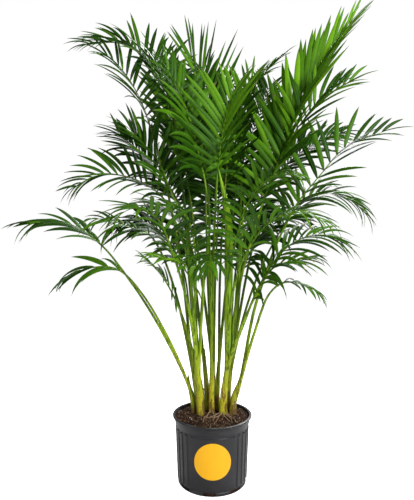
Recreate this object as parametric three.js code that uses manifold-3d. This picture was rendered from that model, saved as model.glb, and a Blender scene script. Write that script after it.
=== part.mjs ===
import * as THREE from 'three';
import { mergeVertices } from 'three/addons/utils/BufferGeometryUtils.js';
import Module from 'manifold-3d';

// Potted feather palm: a fluted nursery pot, its soil, a clump of canes and the arching fronds.
// Millimetres, +Z up, the front of the plant towards -Y, origin at the middle of the pot's underside.

const wasm = await Module();
wasm.setup();

const gap = 0.3;

const pot = {
  height: 196,
  baseRadius: 99.5,
  taper: 7.8,
  rimRadius: 117,
  wall: 2.4,
  floor: 3,
  bandHeight: 26,
  bandStep: 3,
  bandFlare: 1.5,
  lip: 4.5,
  footHeight: 9,
  footStep: 1.4,
  ribDepth: 2.6,
  ribs: 32,
  ribHalfAngle: 2.6,
  ribBottom: 14,
  ribTop: 164,
  panelHalfAngle: 32,
  drainHoles: 8,
  drainWidth: 36,
  drainHeight: 9,
};

const soil = { edgeHeight: 189, middleHeight: 195 };
const label = { radius: 51.2, height: 100.5, thickness: 0.6 };
const planted = 24;

const leaflet = {
  width: 14,
  thickness: 1.3,
  rootWidth: 4,
  angleAtKnee: 62,
  angleAtTip: 18,
  swings: [0, 9, -9, 18, -18, 28, -28, 40, -40],
};

const stem = { footRadius: 3.6, tipRadius: 1.2, rings: 9, sides: 4 };

const plastic = new THREE.MeshStandardMaterial({ color: '#35363a', roughness: 0.5, metalness: 0 });
const peat = new THREE.MeshStandardMaterial({ color: '#3a2a20', roughness: 0.95, metalness: 0 });
const paper = new THREE.MeshStandardMaterial({ color: '#f5b41c', roughness: 0.55, metalness: 0 });
const cane = new THREE.MeshStandardMaterial({ color: '#a9b22e', roughness: 0.5, metalness: 0 });
const leaf = new THREE.MeshStandardMaterial({ color: '#2f6d16', roughness: 0.45, metalness: 0 });
const newLeaf = new THREE.MeshStandardMaterial({ color: '#6aa51c', roughness: 0.45, metalness: 0 });

const plant = new THREE.Group();

function add(name, solidOrGeometry, material) {
  const mesh = new THREE.Mesh(toGeometry(solidOrGeometry), material.clone());
  mesh.name = name;
  plant.add(mesh);
}

function toSolid(geometry, weld = 1e-4) {
  geometry.deleteAttribute('normal');
  geometry.deleteAttribute('uv');
  const welded = mergeVertices(geometry, weld);
  return new wasm.Manifold(new wasm.Mesh({
    numProp: 3,
    vertProperties: new Float32Array(welded.attributes.position.array),
    triVerts: new Uint32Array(welded.index.array),
  }));
}

function toGeometry(solid) {
  const mesh = solid.getMesh();
  const geometry = new THREE.BufferGeometry();
  geometry.setAttribute('position', new THREE.BufferAttribute(mesh.vertProperties, 3));
  geometry.setIndex(new THREE.BufferAttribute(mesh.triVerts, 1));
  geometry.computeVertexNormals();
  return geometry;
}

function joined(solids) {
  return wasm.Manifold.union(solids);
}

// The largest closed skin of a solid, so that slivers of air where blades cross are filled.
function filled(solid) {
  const largest = (pieces) => pieces.sort((a, b) => b.volume() - a.volume())[0];
  const outside = largest(solid.decompose());
  const welded = toSolid(toGeometry(outside).toNonIndexed(), 1e-3);
  return largest(welded.decompose());
}

function turned(profile, segments) {
  const points = profile.map(([radius, height]) => new THREE.Vector2(radius, height));
  return toSolid(new THREE.LatheGeometry(points, segments).rotateX(Math.PI / 2));
}

function wallRadius(height) {
  return pot.baseRadius + pot.taper * height / pot.height;
}

// A slice of the pot's wall between two angles, standing out as far as the ribs do.
function wallSlice(middle, halfAngle, out) {
  const steps = Math.max(1, Math.round(halfAngle / 5));
  const inner = 1 - pot.wall / 2 / pot.baseRadius;
  const outer = 1 + out / pot.baseRadius;
  const corner = (radius, i) => {
    const angle = THREE.MathUtils.degToRad(middle + halfAngle * i / steps);
    return new THREE.Vector2(radius * Math.cos(angle), radius * Math.sin(angle));
  };
  const corners = [];
  for (let i = -steps; i <= steps; i += 1) corners.push(corner(outer, i));
  for (let i = steps; i >= -steps; i -= 1) corners.push(corner(inner, i));
  const shape = new THREE.Shape(corners);
  const depth = pot.ribTop - pot.ribBottom;
  const geometry = new THREE.ExtrudeGeometry(shape, { depth, bevelEnabled: false });
  const position = geometry.attributes.position;
  for (let i = 0; i < position.count; i += 1) {
    const height = position.getZ(i) + pot.ribBottom;
    const radius = wallRadius(height);
    position.setXYZ(i, position.getX(i) * radius, position.getY(i) * radius, height);
  }
  return toSolid(geometry);
}

function makePot() {
  const { height, wall, floor, bandHeight, bandStep, bandFlare, lip, footHeight, footStep } = pot;
  const bandBottom = height - bandHeight;
  const bandTop = wallRadius(height) + bandStep + bandFlare;
  const inside = (z) => wallRadius(z) - wall;
  let body = turned([
    [0, 0],
    [pot.baseRadius - 2, 0],
    [pot.baseRadius + footStep - 0.6, 2],
    [wallRadius(footHeight) + footStep, footHeight],
    [wallRadius(footHeight + 2), footHeight + 2],
    [wallRadius(bandBottom), bandBottom],
    [wallRadius(bandBottom) + bandStep, bandBottom + 3],
    [bandTop, height - lip - 3],
    [pot.rimRadius, height - lip + 1],
    [pot.rimRadius - 1, height],
    [bandTop - wall, height],
    [bandTop - wall - 0.6, height - lip - 4],
    [inside(bandBottom) + bandStep, bandBottom + 3],
    [inside(bandBottom), bandBottom - 1],
    [inside(floor), floor],
    [0, floor],
  ], 40);
  const slices = [wallSlice(-90, pot.panelHalfAngle, pot.ribDepth)];
  for (let i = 0; i < pot.ribs; i += 1) {
    const angle = -90 + 360 * i / pot.ribs;
    const fromFront = Math.abs(((angle + 90 + 180) % 360) - 180);
    if (fromFront > pot.panelHalfAngle + 4) {
      slices.push(wallSlice(angle, pot.ribHalfAngle, pot.ribDepth));
    }
  }
  body = joined([body, ...slices]);
  for (let i = 0; i < pot.drainHoles; i += 1) {
    const angle = 2 * Math.PI * i / pot.drainHoles - Math.PI / 2 - 0.1;
    const slot = toSolid(new THREE.BoxGeometry(22, pot.drainWidth, pot.drainHeight)
      .rotateZ(angle)
      .translate(98 * Math.cos(angle), 98 * Math.sin(angle), 2 + pot.drainHeight / 2));
    body = body.subtract(slot);
  }
  return body;
}

function soilHeight(radius) {
  const edge = wallRadius(soil.edgeHeight) - pot.wall - gap;
  return soil.edgeHeight + (soil.middleHeight - soil.edgeHeight) * (1 - (radius / edge) ** 2);
}

function makeSoil() {
  const spare = pot.wall + gap + 0.6;
  const bandBottom = pot.height - pot.bandHeight;
  const edge = wallRadius(soil.edgeHeight) + pot.bandStep - spare;
  const foot = wallRadius(pot.floor) - spare;
  return turned([
    [0, pot.floor + gap],
    [foot, pot.floor + gap],
    [wallRadius(bandBottom) - spare, bandBottom - 2],
    [edge - 0.5, bandBottom + 6],
    [edge, soil.edgeHeight],
    [edge * 0.6, soilHeight(edge * 0.6)],
    [0, soilHeight(0)],
  ], 28);
}

function makeLabel() {
  const ring = (out) => turned([
    [0, 0],
    [wallRadius(0) + out, 0],
    [wallRadius(pot.height) + out, pot.height],
    [0, pot.height],
  ], 96);
  const inner = pot.ribDepth + gap;
  const shell = ring(inner + label.thickness).subtract(ring(inner));
  const punch = toSolid(new THREE.CylinderGeometry(label.radius, label.radius, 60, 32)
    .translate(0, -110, label.height));
  return shell.intersect(punch);
}

// A closed tapering limb through the given points.
function limb(points, firstRadius, lastRadius, rings, sides, flat = 1) {
  const curve = new THREE.CatmullRomCurve3(points, false, 'centripetal');
  const frames = curve.computeFrenetFrames(rings, false);
  const vertices = [];
  const faces = [];
  for (let i = 0; i <= rings; i += 1) {
    const at = curve.getPointAt(i / rings);
    const radius = firstRadius + (lastRadius - firstRadius) * i / rings;
    for (let j = 0; j < sides; j += 1) {
      const angle = 2 * Math.PI * j / sides;
      const corner = at.clone()
        .addScaledVector(frames.normals[i], radius * Math.cos(angle))
        .addScaledVector(frames.binormals[i], radius * flat * Math.sin(angle));
      vertices.push(corner.x, corner.y, corner.z);
    }
  }
  for (let i = 0; i < rings; i += 1) {
    for (let j = 0; j < sides; j += 1) {
      const a = i * sides + j;
      const b = i * sides + (j + 1) % sides;
      faces.push(a, b, b + sides, a, b + sides, a + sides);
    }
  }
  const last = rings * sides;
  for (let j = 1; j < sides - 1; j += 1) {
    faces.push(0, j + 1, j);
    faces.push(last, last + j, last + j + 1);
  }
  const geometry = new THREE.BufferGeometry();
  geometry.setAttribute('position', new THREE.Float32BufferAttribute(vertices, 3));
  geometry.setIndex(faces);
  return toSolid(geometry);
}

// One leaflet: a thin keeled blade that leaves the midrib at `from` and sags towards its tip.
function blade(from, along, across, length, width, sag, margin = 0) {
  const down = new THREE.Vector3(0, 0, -1);
  const face = new THREE.Vector3().crossVectors(along, across).normalize();
  const fall = down.clone().addScaledVector(along, -down.dot(along));
  const rings = [
    [0, leaflet.rootWidth],
    [0.45, width],
  ];
  const vertices = [];
  for (const [part, breadth] of rings) {
    const middle = from.clone()
      .addScaledVector(along, length * part)
      .addScaledVector(fall, length * sag * part * part);
    const half = breadth / 2 + margin * 5;
    const thick = leaflet.thickness / 2 + margin;
    for (const [side, lift] of [[-half, thick], [0, -thick], [half, thick]]) {
      const corner = middle.clone().addScaledVector(across, side).addScaledVector(face, lift);
      vertices.push(corner.x, corner.y, corner.z);
    }
  }
  const tip = from.clone()
    .addScaledVector(along, (length + margin * 20) * Math.cos(sag))
    .addScaledVector(fall, length * sag);
  vertices.push(tip.x, tip.y, tip.z);
  const faces = [0, 2, 1, 3, 4, 6, 4, 5, 6, 5, 3, 6];
  for (let j = 0; j < 3; j += 1) {
    const next = (j + 1) % 3;
    faces.push(j, next + 3, j + 3, j, next, next + 3);
  }
  const geometry = new THREE.BufferGeometry();
  geometry.setAttribute('position', new THREE.Float32BufferAttribute(vertices, 3));
  geometry.setIndex(faces);
  const solid = toSolid(geometry);
  return solid;
}

// Everything that already has its place, so that later leaflets can swing clear of it.
const placed = [];

function clear(solid, owner) {
  const box = solid.boundingBox();
  for (const other of placed) {
    if (other.owner === owner) continue;
    let apart = false;
    for (let axis = 0; axis < 3; axis += 1) {
      apart ||= box.min[axis] > other.box.max[axis] || box.max[axis] < other.box.min[axis];
    }
    if (!apart && !solid.intersect(other.solid).isEmpty()) return false;
  }
  return true;
}

function place(solid, owner) {
  placed.push({ solid, owner, box: solid.boundingBox() });
}

// Canes: foot [x, y] at the soil, top [x, y, z], radius at the foot, radius at the top.
const canes = {
  cane_1: { foot: [-56, 14], top: [-72, 0, 310], radius: [8, 7] },
  cane_2: { foot: [-34, -4], top: [-44, -32, 360], radius: [11, 9] },
  cane_3: { foot: [-14, 36], top: [-24, 36, 380], radius: [9, 8] },
  cane_4: { foot: [-2, 8], top: [-2, -12, 420], radius: [8, 7] },
  cane_5: { foot: [14, 38], top: [22, 34, 380], radius: [9, 8] },
  cane_6: { foot: [32, 0], top: [44, -30, 380], radius: [11.5, 9] },
  cane_7: { foot: [62, 10], top: [90, -4, 330], radius: [11, 8] },
  cane_8: { foot: [48, 42], top: [60, 56, 360], radius: [9, 8] },
  cane_9: { foot: [-44, 42], top: [-62, 58, 350], radius: [9, 8] },
  cane_10: { foot: [2, 66], top: [6, 92, 340], radius: [10, 9] },
  cane_11: { foot: [38, 72], top: [62, 108, 330], radius: [9, 8] },
  cane_12: { foot: [-32, 74], top: [-46, 112, 330], radius: [9, 8] },
};

// Roots that run over the soil from the foot of a cane: heading in degrees, reach, start radius.
const surfaceRoots = {
  cane_6: [[-104, 60], [-86, 78], [-66, 70], [-46, 56], [-20, 34]],
  cane_4: [[-128, 42], [-106, 56]],
};

// Fronds: the cane it leaves, the points of its bare stalk, the points of its feathered midrib,
// pairs of leaflets, longest leaflet, how far the feather rolls and lifts in degrees, and its sag.
const fronds = {
  frond_left_1: {
    cane: 'cane_1', pairs: 4, length: 157, roll: 20, lift: 10, sag: 0.4,
    stalk: [[-165, -10, 470], [-256, -15, 610]],
    rib: [[-330, -20, 700], [-420, -20, 757], [-541, -20, 762]],
  },
  frond_left_2: {
    cane: 'cane_1', pairs: 4, length: 147, roll: 18, lift: 10, sag: 0.4,
    stalk: [[-130, -35, 430], [-205, -55, 562]],
    rib: [[-262, -60, 622], [-310, -60, 634], [-365, -62, 625], [-406, -64, 607]],
  },
  frond_left_3: {
    cane: 'cane_9', pairs: 4, length: 142, roll: 20, lift: 10, sag: 0.5,
    stalk: [[-110, 50, 540], [-160, 45, 680]],
    rib: [[-195, 42, 730], [-245, 42, 748], [-310, 40, 774], [-370, 40, 776]],
  },
  frond_left_4: {
    cane: 'cane_3', pairs: 5, length: 162, roll: 40, lift: 25, sag: 0.3,
    stalk: [[-60, 20, 600], [-100, 10, 740]],
    rib: [[-150, 0, 840], [-215, 0, 885], [-285, 0, 905], [-350, 0, 900], [-407, 0, 870]],
  },
  frond_left_5: {
    cane: 'cane_2', pairs: 4, length: 180, roll: 42, lift: 30, sag: 0.3,
    stalk: [[-60, -30, 560], [-82, -40, 760]],
    rib: [[-120, -40, 850], [-152, -40, 930], [-195, -40, 985], [-234, -40, 1025]],
  },
  frond_left_6: {
    cane: 'cane_3', pairs: 5, length: 180, roll: 35, lift: 32, sag: 0.35,
    stalk: [[-60, 48, 640], [-95, 55, 900]],
    rib: [[-125, 60, 1120], [-190, 65, 1260], [-285, 65, 1325], [-383, 59, 1320]],
  },
  frond_left_7: {
    cane: 'cane_9', pairs: 4, length: 180, roll: 40, lift: 30, sag: 0.4,
    stalk: [[-95, 40, 640], [-140, 25, 880]],
    rib: [[-185, 20, 1050], [-232, 20, 1165], [-280, 20, 1235], [-317, 16, 1265]],
  },
  frond_left_8: {
    cane: 'cane_2', pairs: 4, length: 100, roll: 15, lift: 15, sag: 0.4,
    stalk: [[-72, -56, 450]],
    rib: [[-104, -90, 545], [-140, -110, 612], [-180, -120, 655]],
  },
  frond_top_1: {
    cane: 'cane_4', pairs: 5, length: 276, roll: 85, lift: 12, sag: 0.1,
    stalk: [[-14, 30, 620]],
    rib: [[-20, 80, 900], [-25, 95, 1090], [-45, 100, 1230], [-66, 100, 1298]],
  },
  frond_top_2: {
    cane: 'cane_10', pairs: 4, length: 171, roll: 60, lift: 30, sag: 0.2,
    stalk: [[-40, 110, 640]],
    rib: [[-90, 125, 960], [-136, 130, 1150], [-183, 130, 1322]],
  },
  frond_top_3: {
    cane: 'cane_5', pairs: 4, length: 171, roll: 55, lift: 25, sag: 0.2,
    stalk: [[24, 25, 600]],
    rib: [[40, 20, 880], [60, 20, 1030], [95, 15, 1150], [122, 12, 1201]],
  },
  frond_top_4: {
    cane: 'cane_8', pairs: 5, length: 142, roll: 20, lift: 20, sag: 0.3,
    stalk: [[80, 70, 600]],
    rib: [[93, 80, 870], [98, 80, 1080], [125, 80, 1185], [168, 80, 1240], [214, 80, 1285]],
  },
  frond_right_1: {
    cane: 'cane_6', pairs: 5, length: 185, roll: 40, lift: 34, sag: 0.2,
    stalk: [[80, -25, 580]],
    rib: [[148, -20, 820], [212, -20, 975], [258, -20, 1050], [320, -20, 1125], [404, -20, 1173]],
  },
  frond_right_2: {
    cane: 'cane_8', pairs: 5, length: 223, roll: 42, lift: 30, sag: 0.12,
    stalk: [[110, 50, 620]],
    rib: [[176, 45, 890], [242, 42, 1080], [331, 40, 1245], [424, 40, 1376]],
  },
  frond_right_3: {
    cane: 'cane_7', pairs: 6, length: 166, roll: 42, lift: 30, sag: 0.2,
    stalk: [[118, -45, 500], [144, -55, 590], [175, -60, 681]],
    rib: [[215, -60, 766], [240, -60, 812], [303, -60, 890], [377, -60, 972], [485, -60, 1017]],
  },
  frond_right_4: {
    cane: 'cane_8', pairs: 5, length: 180, roll: 25, lift: 20, sag: 0.45,
    stalk: [[120, 64, 540]],
    rib: [[196, 60, 712], [273, 60, 820], [350, 60, 856], [440, 60, 830], [470, 60, 800]],
  },
  frond_right_5: {
    cane: 'cane_6', pairs: 4, length: 171, roll: 25, lift: 15, sag: 0.45,
    stalk: [[88, -60, 470]],
    rib: [[140, -90, 600], [213, -100, 695], [295, -100, 724], [347, -100, 706]],
  },
  frond_right_6: {
    cane: 'cane_7', pairs: 4, length: 114, roll: 0, lift: 10, sag: 0.4,
    stalk: [[118, -56, 440], [160, -80, 560]],
    rib: [[200, -80, 590], [256, -80, 584], [289, -80, 568]],
  },
  frond_right_7: {
    cane: 'cane_6', pairs: 4, length: 142, roll: 15, lift: 15, sag: 0.45,
    stalk: [[70, -84, 440]],
    rib: [[112, -120, 548], [165, -130, 634], [259, -140, 658]],
  },
  frond_front_1: {
    cane: 'cane_2', pairs: 4, length: 152, roll: 10, lift: 10, sag: 0.45,
    stalk: [[-50, -66, 500]],
    rib: [[-48, -100, 680], [-75, -125, 775], [-157, -146, 807]],
  },
  frond_front_2: {
    cane: 'cane_4', pairs: 4, length: 109, roll: 0, lift: 10, sag: 0.4,
    stalk: [[-4, -46, 540]],
    rib: [[-4, -90, 650], [-6, -150, 668], [-8, -205, 640]],
  },
  frond_front_3: {
    cane: 'cane_2', pairs: 4, length: 114, roll: 10, lift: 20, sag: 0.4,
    stalk: [[-55, -90, 480]],
    rib: [[-48, -130, 576], [-86, -150, 640], [-156, -160, 666]],
  },
  frond_front_4: {
    cane: 'cane_2', pairs: 4, length: 180, roll: 60, lift: 20, sag: 0.35,
    stalk: [[-24, -50, 600], [-8, -60, 760]],
    rib: [[-22, -64, 880], [-48, -72, 985], [-78, -85, 1090], [-123, -101, 1175]],
  },
  frond_front_5: {
    cane: 'cane_6', pairs: 4, length: 133, roll: 0, lift: 20, sag: 0.4,
    stalk: [[40, -60, 540]],
    rib: [[62, -105, 700], [100, -165, 820], [160, -230, 870], [195, -258, 860]],
  },
  frond_front_6: {
    cane: 'cane_4', pairs: 4, length: 185, roll: 66, lift: 30, sag: 0.15,
    stalk: [[2, -50, 600], [7, -84, 780]],
    rib: [[15, -90, 905], [24, -94, 980], [40, -96, 1060], [60, -97, 1122]],
  },
  frond_front_7: {
    cane: 'cane_2', pairs: 4, length: 142, roll: 0, lift: 20, sag: 0.4,
    stalk: [[-62, -100, 500]],
    rib: [[-100, -170, 660], [-140, -215, 760], [-190, -265, 780], [-226, -287, 759]],
  },
  frond_front_8: {
    cane: 'cane_6', pairs: 4, length: 142, roll: 0, lift: 20, sag: 0.4,
    stalk: [[46, -100, 500]],
    rib: [[75, -165, 650], [140, -220, 750], [210, -265, 770], [252, -286, 749]],
  },
  frond_back_1: {
    cane: 'cane_10', pairs: 4, length: 190, roll: 75, lift: 20, sag: 0.25,
    stalk: [[2, 110, 620]],
    rib: [[12, 150, 850], [0, 160, 1080], [-20, 165, 1240], [-28, 167, 1282]],
  },
  frond_back_2: {
    cane: 'cane_5', pairs: 4, length: 190, roll: 60, lift: 20, sag: 0.25,
    stalk: [[50, 90, 620]],
    rib: [[77, 140, 850], [125, 150, 1045], [165, 155, 1145], [189, 158, 1219]],
  },
  frond_back_3: {
    cane: 'cane_11', pairs: 4, length: 190, roll: 35, lift: 25, sag: 0.35,
    stalk: [[95, 128, 600]],
    rib: [[130, 160, 780], [231, 180, 950], [367, 190, 1053], [443, 196, 1082]],
  },
  frond_back_4: {
    cane: 'cane_12', pairs: 4, length: 190, roll: 35, lift: 25, sag: 0.35,
    stalk: [[-75, 118, 600]],
    rib: [[-90, 130, 790], [-190, 150, 960], [-314, 160, 1074]],
  },
  frond_back_5: {
    cane: 'cane_12', pairs: 4, length: 180, roll: 20, lift: 15, sag: 0.4,
    stalk: [[-72, 128, 480]],
    rib: [[-95, 130, 620], [-165, 145, 740], [-250, 150, 780], [-305, 150, 759]],
  },
  frond_back_6: {
    cane: 'cane_11', pairs: 4, length: 180, roll: 20, lift: 15, sag: 0.4,
    stalk: [[84, 122, 480]],
    rib: [[105, 140, 620], [170, 150, 740], [260, 150, 790], [314, 150, 770]],
  },
  frond_back_7: {
    cane: 'cane_10', pairs: 4, length: 190, roll: 0, lift: 20, sag: 0.4,
    stalk: [[10, 130, 540]],
    rib: [[20, 180, 760], [30, 260, 940], [40, 350, 1010], [43, 387, 1002]],
  },
  frond_back_8: {
    cane: 'cane_12', pairs: 4, length: 180, roll: 0, lift: 20, sag: 0.4,
    stalk: [[-52, 140, 480]],
    rib: [[-60, 180, 660], [-120, 260, 800], [-190, 340, 830], [-223, 373, 807]],
  },
  frond_back_9: {
    cane: 'cane_11', pairs: 4, length: 180, roll: 0, lift: 20, sag: 0.4,
    stalk: [[66, 140, 480]],
    rib: [[90, 190, 660], [140, 270, 800], [200, 350, 830], [229, 390, 806]],
  },
};

// Spears: new fronds that are still folded shut, standing out of the crown of a cane.
const spears = {
  spear_1: { cane: 'cane_6', radius: 5, points: [[46, -62, 640], [42, -84, 780], [14, -96, 915]] },
  spear_2: { cane: 'cane_4', radius: 3.2, points: [[-8, -24, 640], [-10, -30, 880]] },
  spear_3: { cane: 'cane_8', radius: 3.2, points: [[84, 40, 620], [100, 30, 860]] },
};

const vector = (point) => new THREE.Vector3(...point);

function canePoints({ foot, top }, below) {
  const [x, y] = foot;
  const height = soilHeight(Math.hypot(x, y));
  const middle = [x + (top[0] - x) * 0.4, y + (top[1] - y) * 0.4, height + (top[2] - height) * 0.5];
  return [vector([x, y, height - below]), vector(middle), vector(top)];
}

function makeRoots(name) {
  const { foot, radius } = canes[name];
  return (surfaceRoots[name] ?? []).map(([heading, reach]) => {
    const angle = THREE.MathUtils.degToRad(heading);
    const points = [0.2, 0.6, 1].map((part, i) => {
      const bend = angle + (i - 1) * 0.22;
      const out = radius[0] * 0.4 + reach * part;
      const x = foot[0] + out * Math.cos(bend);
      const y = foot[1] + out * Math.sin(bend);
      return vector([x, y, soilHeight(Math.hypot(x, y)) + 3 - part]);
    });
    points.unshift(vector([foot[0], foot[1], points[0].z + 2]));
    return limb(points, 1.9, 1.2, 4, 4);
  });
}

function makeCaneStem(name, swell) {
  const shape = canes[name];
  const [foot, top] = shape.radius;
  return limb(canePoints(shape, planted + swell), foot + swell, top + swell, 4, 8);
}

// Where each stalk leaves the crown of its cane: side by side around the top, just above it.
function crownSeats() {
  const seats = {};
  for (const cane of Object.keys(canes)) {
    const growing = Object.entries({ ...fronds, ...spears }).filter(([, it]) => it.cane === cane);
    const heading = ([, it]) => {
      const [x, y] = (it.stalk ?? it.points)[0];
      return Math.atan2(y - canes[cane].top[1], x - canes[cane].top[0]);
    };
    growing.sort((a, b) => heading(a) - heading(b));
    const [x, y, z] = canes[cane].top;
    const spread = growing.length > 1 ? 5.4 / Math.sin(Math.PI / growing.length) : 0;
    const share = 2 * Math.PI / Math.max(growing.length, 1);
    const lean = growing.map((it, i) => heading(it) - share * i);
    const turn = Math.atan2(
      lean.reduce((sum, angle) => sum + Math.sin(angle), 0),
      lean.reduce((sum, angle) => sum + Math.cos(angle), 0),
    );
    growing.forEach(([name], i) => {
      const angle = turn + share * i;
      seats[name] = vector([x + spread * Math.cos(angle), y + spread * Math.sin(angle), z + 6]);
    });
  }
  return seats;
}

function frondPoints(name, seat, [sideways, back]) {
  const { stalk, rib } = fronds[name];
  const points = [...stalk, ...rib].map(vector);
  points.forEach((point, i) => {
    const share = i === 0 ? 0.6 : 1;
    point.x += sideways * share;
    point.y += back * share;
  });
  return [seat, ...points];
}

// Small shifts that a stalk tries in turn to get past its neighbours, growing outwards.
const shifts = [[0, 0]];
for (const reach of [6, 12, 18, 26, 36, 48]) {
  for (let i = 0; i < 8; i += 1) {
    const angle = 2 * Math.PI * i / 8 + Math.PI / 2;
    shifts.push([reach * 0.6 * Math.cos(angle), reach * Math.sin(angle)]);
  }
}

function makeMidrib(name, seat) {
  for (const shift of shifts) {
    const points = frondPoints(name, seat, shift);
    const rings = stem.rings;
    const swollen = limb(points, stem.footRadius + gap, stem.tipRadius + gap, rings, stem.sides);
    if (clear(swollen, name)) {
      place(swollen, name);
      const solid = limb(points, stem.footRadius, stem.tipRadius, rings, stem.sides);
      return { points, solid };
    }
  }
  throw new Error(`${name} has no free way up`);
}

// The two rows of leaflets that stand out of a midrib, each swung clear of what is already there.
function makeLeaflets(name, points) {
  const { pairs, length, roll, lift, sag, stalk } = fronds[name];
  const curve = new THREE.CatmullRomCurve3(points, false, 'centripetal');
  const spine = curve.getSpacedPoints(stem.rings);
  const onSpine = (part) => {
    const ring = Math.min(stem.rings - 1, Math.floor(part * stem.rings));
    return spine[ring].clone().lerp(spine[ring + 1], part * stem.rings - ring);
  };
  const knee = new THREE.CatmullRomCurve3(points.slice(0, stalk.length + 2), false, 'centripetal')
    .getLength() / curve.getLength();
  const headsRight = points.at(-1).x > points[0].x;
  const tilt = THREE.MathUtils.degToRad(roll) * (headsRight ? -1 : 1);
  const leaflets = [];
  for (let i = 0; i < pairs * 2; i += 1) {
    const side = i % 2 ? 1 : -1;
    const part = Math.min(0.985, (Math.floor(i / 2) + (side > 0 ? 0.45 : 0.1)) / (pairs - 0.5));
    const at = onSpine(knee + (1 - knee) * part);
    const along = curve.getTangentAt(knee + (1 - knee) * part);
    const across = new THREE.Vector3().crossVectors(along, new THREE.Vector3(0, 0, 1)).normalize();
    const up = new THREE.Vector3().crossVectors(across, along);
    across.applyAxisAngle(along, -tilt);
    up.applyAxisAngle(along, -tilt);
    const size = length * (0.55 + 0.45 * Math.sin(Math.PI * Math.min(1, 0.12 + part * 0.9)));
    const width = leaflet.width * (0.6 + 0.4 * Math.sin(Math.PI * Math.min(1, 0.2 + part * 0.7)));
    for (const swing of leaflet.swings) {
      const open = leaflet.angleAtKnee + (leaflet.angleAtTip - leaflet.angleAtKnee) * part;
      const angle = THREE.MathUtils.degToRad(open - swing * 0.4);
      const raise = THREE.MathUtils.degToRad(lift + swing);
      const out = across.clone().multiplyScalar(side * Math.cos(raise))
        .addScaledVector(up, Math.sin(raise));
      const heading = along.clone().multiplyScalar(Math.cos(angle))
        .addScaledVector(out, Math.sin(angle)).normalize();
      const flat = new THREE.Vector3().crossVectors(heading, up).cross(heading);
      const breadth = new THREE.Vector3().crossVectors(flat, heading).normalize();
      const swollen = blade(at, heading, breadth, size, width, sag, gap);
      if (clear(swollen, name)) {
        place(swollen, 'leaflet');
        leaflets.push(blade(at, heading, breadth, size, width, sag));
        break;
      }
    }
  }
  return leaflets;
}

// The pot and what fills it.
add('pot', makePot(), plastic);
add('pot_label', makeLabel(), paper);
const pockets = Object.keys(canes).map((name) => makeCaneStem(name, gap));
add('soil', makeSoil().subtract(joined(pockets)), peat);

// The clump of canes.
for (const name of Object.keys(canes)) {
  place(makeCaneStem(name, gap), name);
  add(name, filled(joined([makeCaneStem(name, 0), ...makeRoots(name)])), cane);
}

// Spears and stalks find their way up first, then the leaflets fill the space between them.
const seats = crownSeats();
for (const [name, { radius, points }] of Object.entries(spears)) {
  const way = [seats[name], ...points.map(vector)];
  const swollen = limb(way, radius + gap, 0.8 + gap, 6, 6);
  if (!clear(swollen, name)) throw new Error(`${name} has no free way up`);
  place(swollen, name);
  add(name, limb(way, radius, 0.8, 6, 6), newLeaf);
}
const midribs = {};
for (const name of Object.keys(fronds)) {
  midribs[name] = makeMidrib(name, seats[name]);
}
for (const name of Object.keys(fronds)) {
  const { points, solid } = midribs[name];
  add(name, filled(joined([solid, ...makeLeaflets(name, points)])), leaf);
}

export default plant;
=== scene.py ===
import math
import random
import bpy
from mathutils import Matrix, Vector


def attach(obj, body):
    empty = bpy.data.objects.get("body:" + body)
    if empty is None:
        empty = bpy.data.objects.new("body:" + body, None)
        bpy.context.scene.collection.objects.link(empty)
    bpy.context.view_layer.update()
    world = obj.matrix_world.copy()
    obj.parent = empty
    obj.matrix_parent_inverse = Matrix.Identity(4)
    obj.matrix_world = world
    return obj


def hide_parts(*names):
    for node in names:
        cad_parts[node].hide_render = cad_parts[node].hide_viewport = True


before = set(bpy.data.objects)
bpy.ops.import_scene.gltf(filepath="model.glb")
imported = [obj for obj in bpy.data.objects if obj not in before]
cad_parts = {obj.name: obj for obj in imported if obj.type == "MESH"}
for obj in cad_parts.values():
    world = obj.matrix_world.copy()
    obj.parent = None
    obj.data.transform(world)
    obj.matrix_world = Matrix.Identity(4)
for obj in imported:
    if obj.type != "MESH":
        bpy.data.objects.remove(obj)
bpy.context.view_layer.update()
print("frame loaded:", len(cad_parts), "nodes")

mm = 0.001
scene = bpy.context.scene


class Tree:
    # A node tree written as formulas: each method adds one node and hands back its output.
    def __init__(self, tree):
        self.tree = tree

    def add(self, kind, feeds=None, **settings):
        node = self.tree.nodes.new(kind)
        for key, value in settings.items():
            setattr(node, key, value)
        for key, value in (feeds or {}).items():
            if isinstance(value, bpy.types.NodeSocket):
                self.tree.links.new(value, node.inputs[key])
            else:
                node.inputs[key].default_value = value
        return node

    def out(self, kind, feeds=None, **settings):
        return self.add(kind, feeds, **settings).outputs[0]

    def num(self, operation, a, b=0.0, clamp=False):
        node = self.add("ShaderNodeMath", {0: a, 1: b}, operation=operation, use_clamp=clamp)
        return node.outputs[0]

    def plus(self, a, b, clamp=False):
        return self.num("ADD", a, b, clamp)

    def minus(self, a, b):
        return self.num("SUBTRACT", a, b)

    def sin(self, a):
        return self.num("SINE", a)

    def cos(self, a):
        return self.num("COSINE", a)

    def times(self, *values):
        result = values[0]
        for value in values[1:]:
            result = self.num("MULTIPLY", result, value)
        return result

    def spread(self, value, fromLow, fromHigh, toLow=0.0, toHigh=1.0, **settings):
        feeds = {0: value, 1: fromLow, 2: fromHigh, 3: toLow, 4: toHigh}
        return self.add("ShaderNodeMapRange", feeds, **settings).outputs[0]


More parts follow.
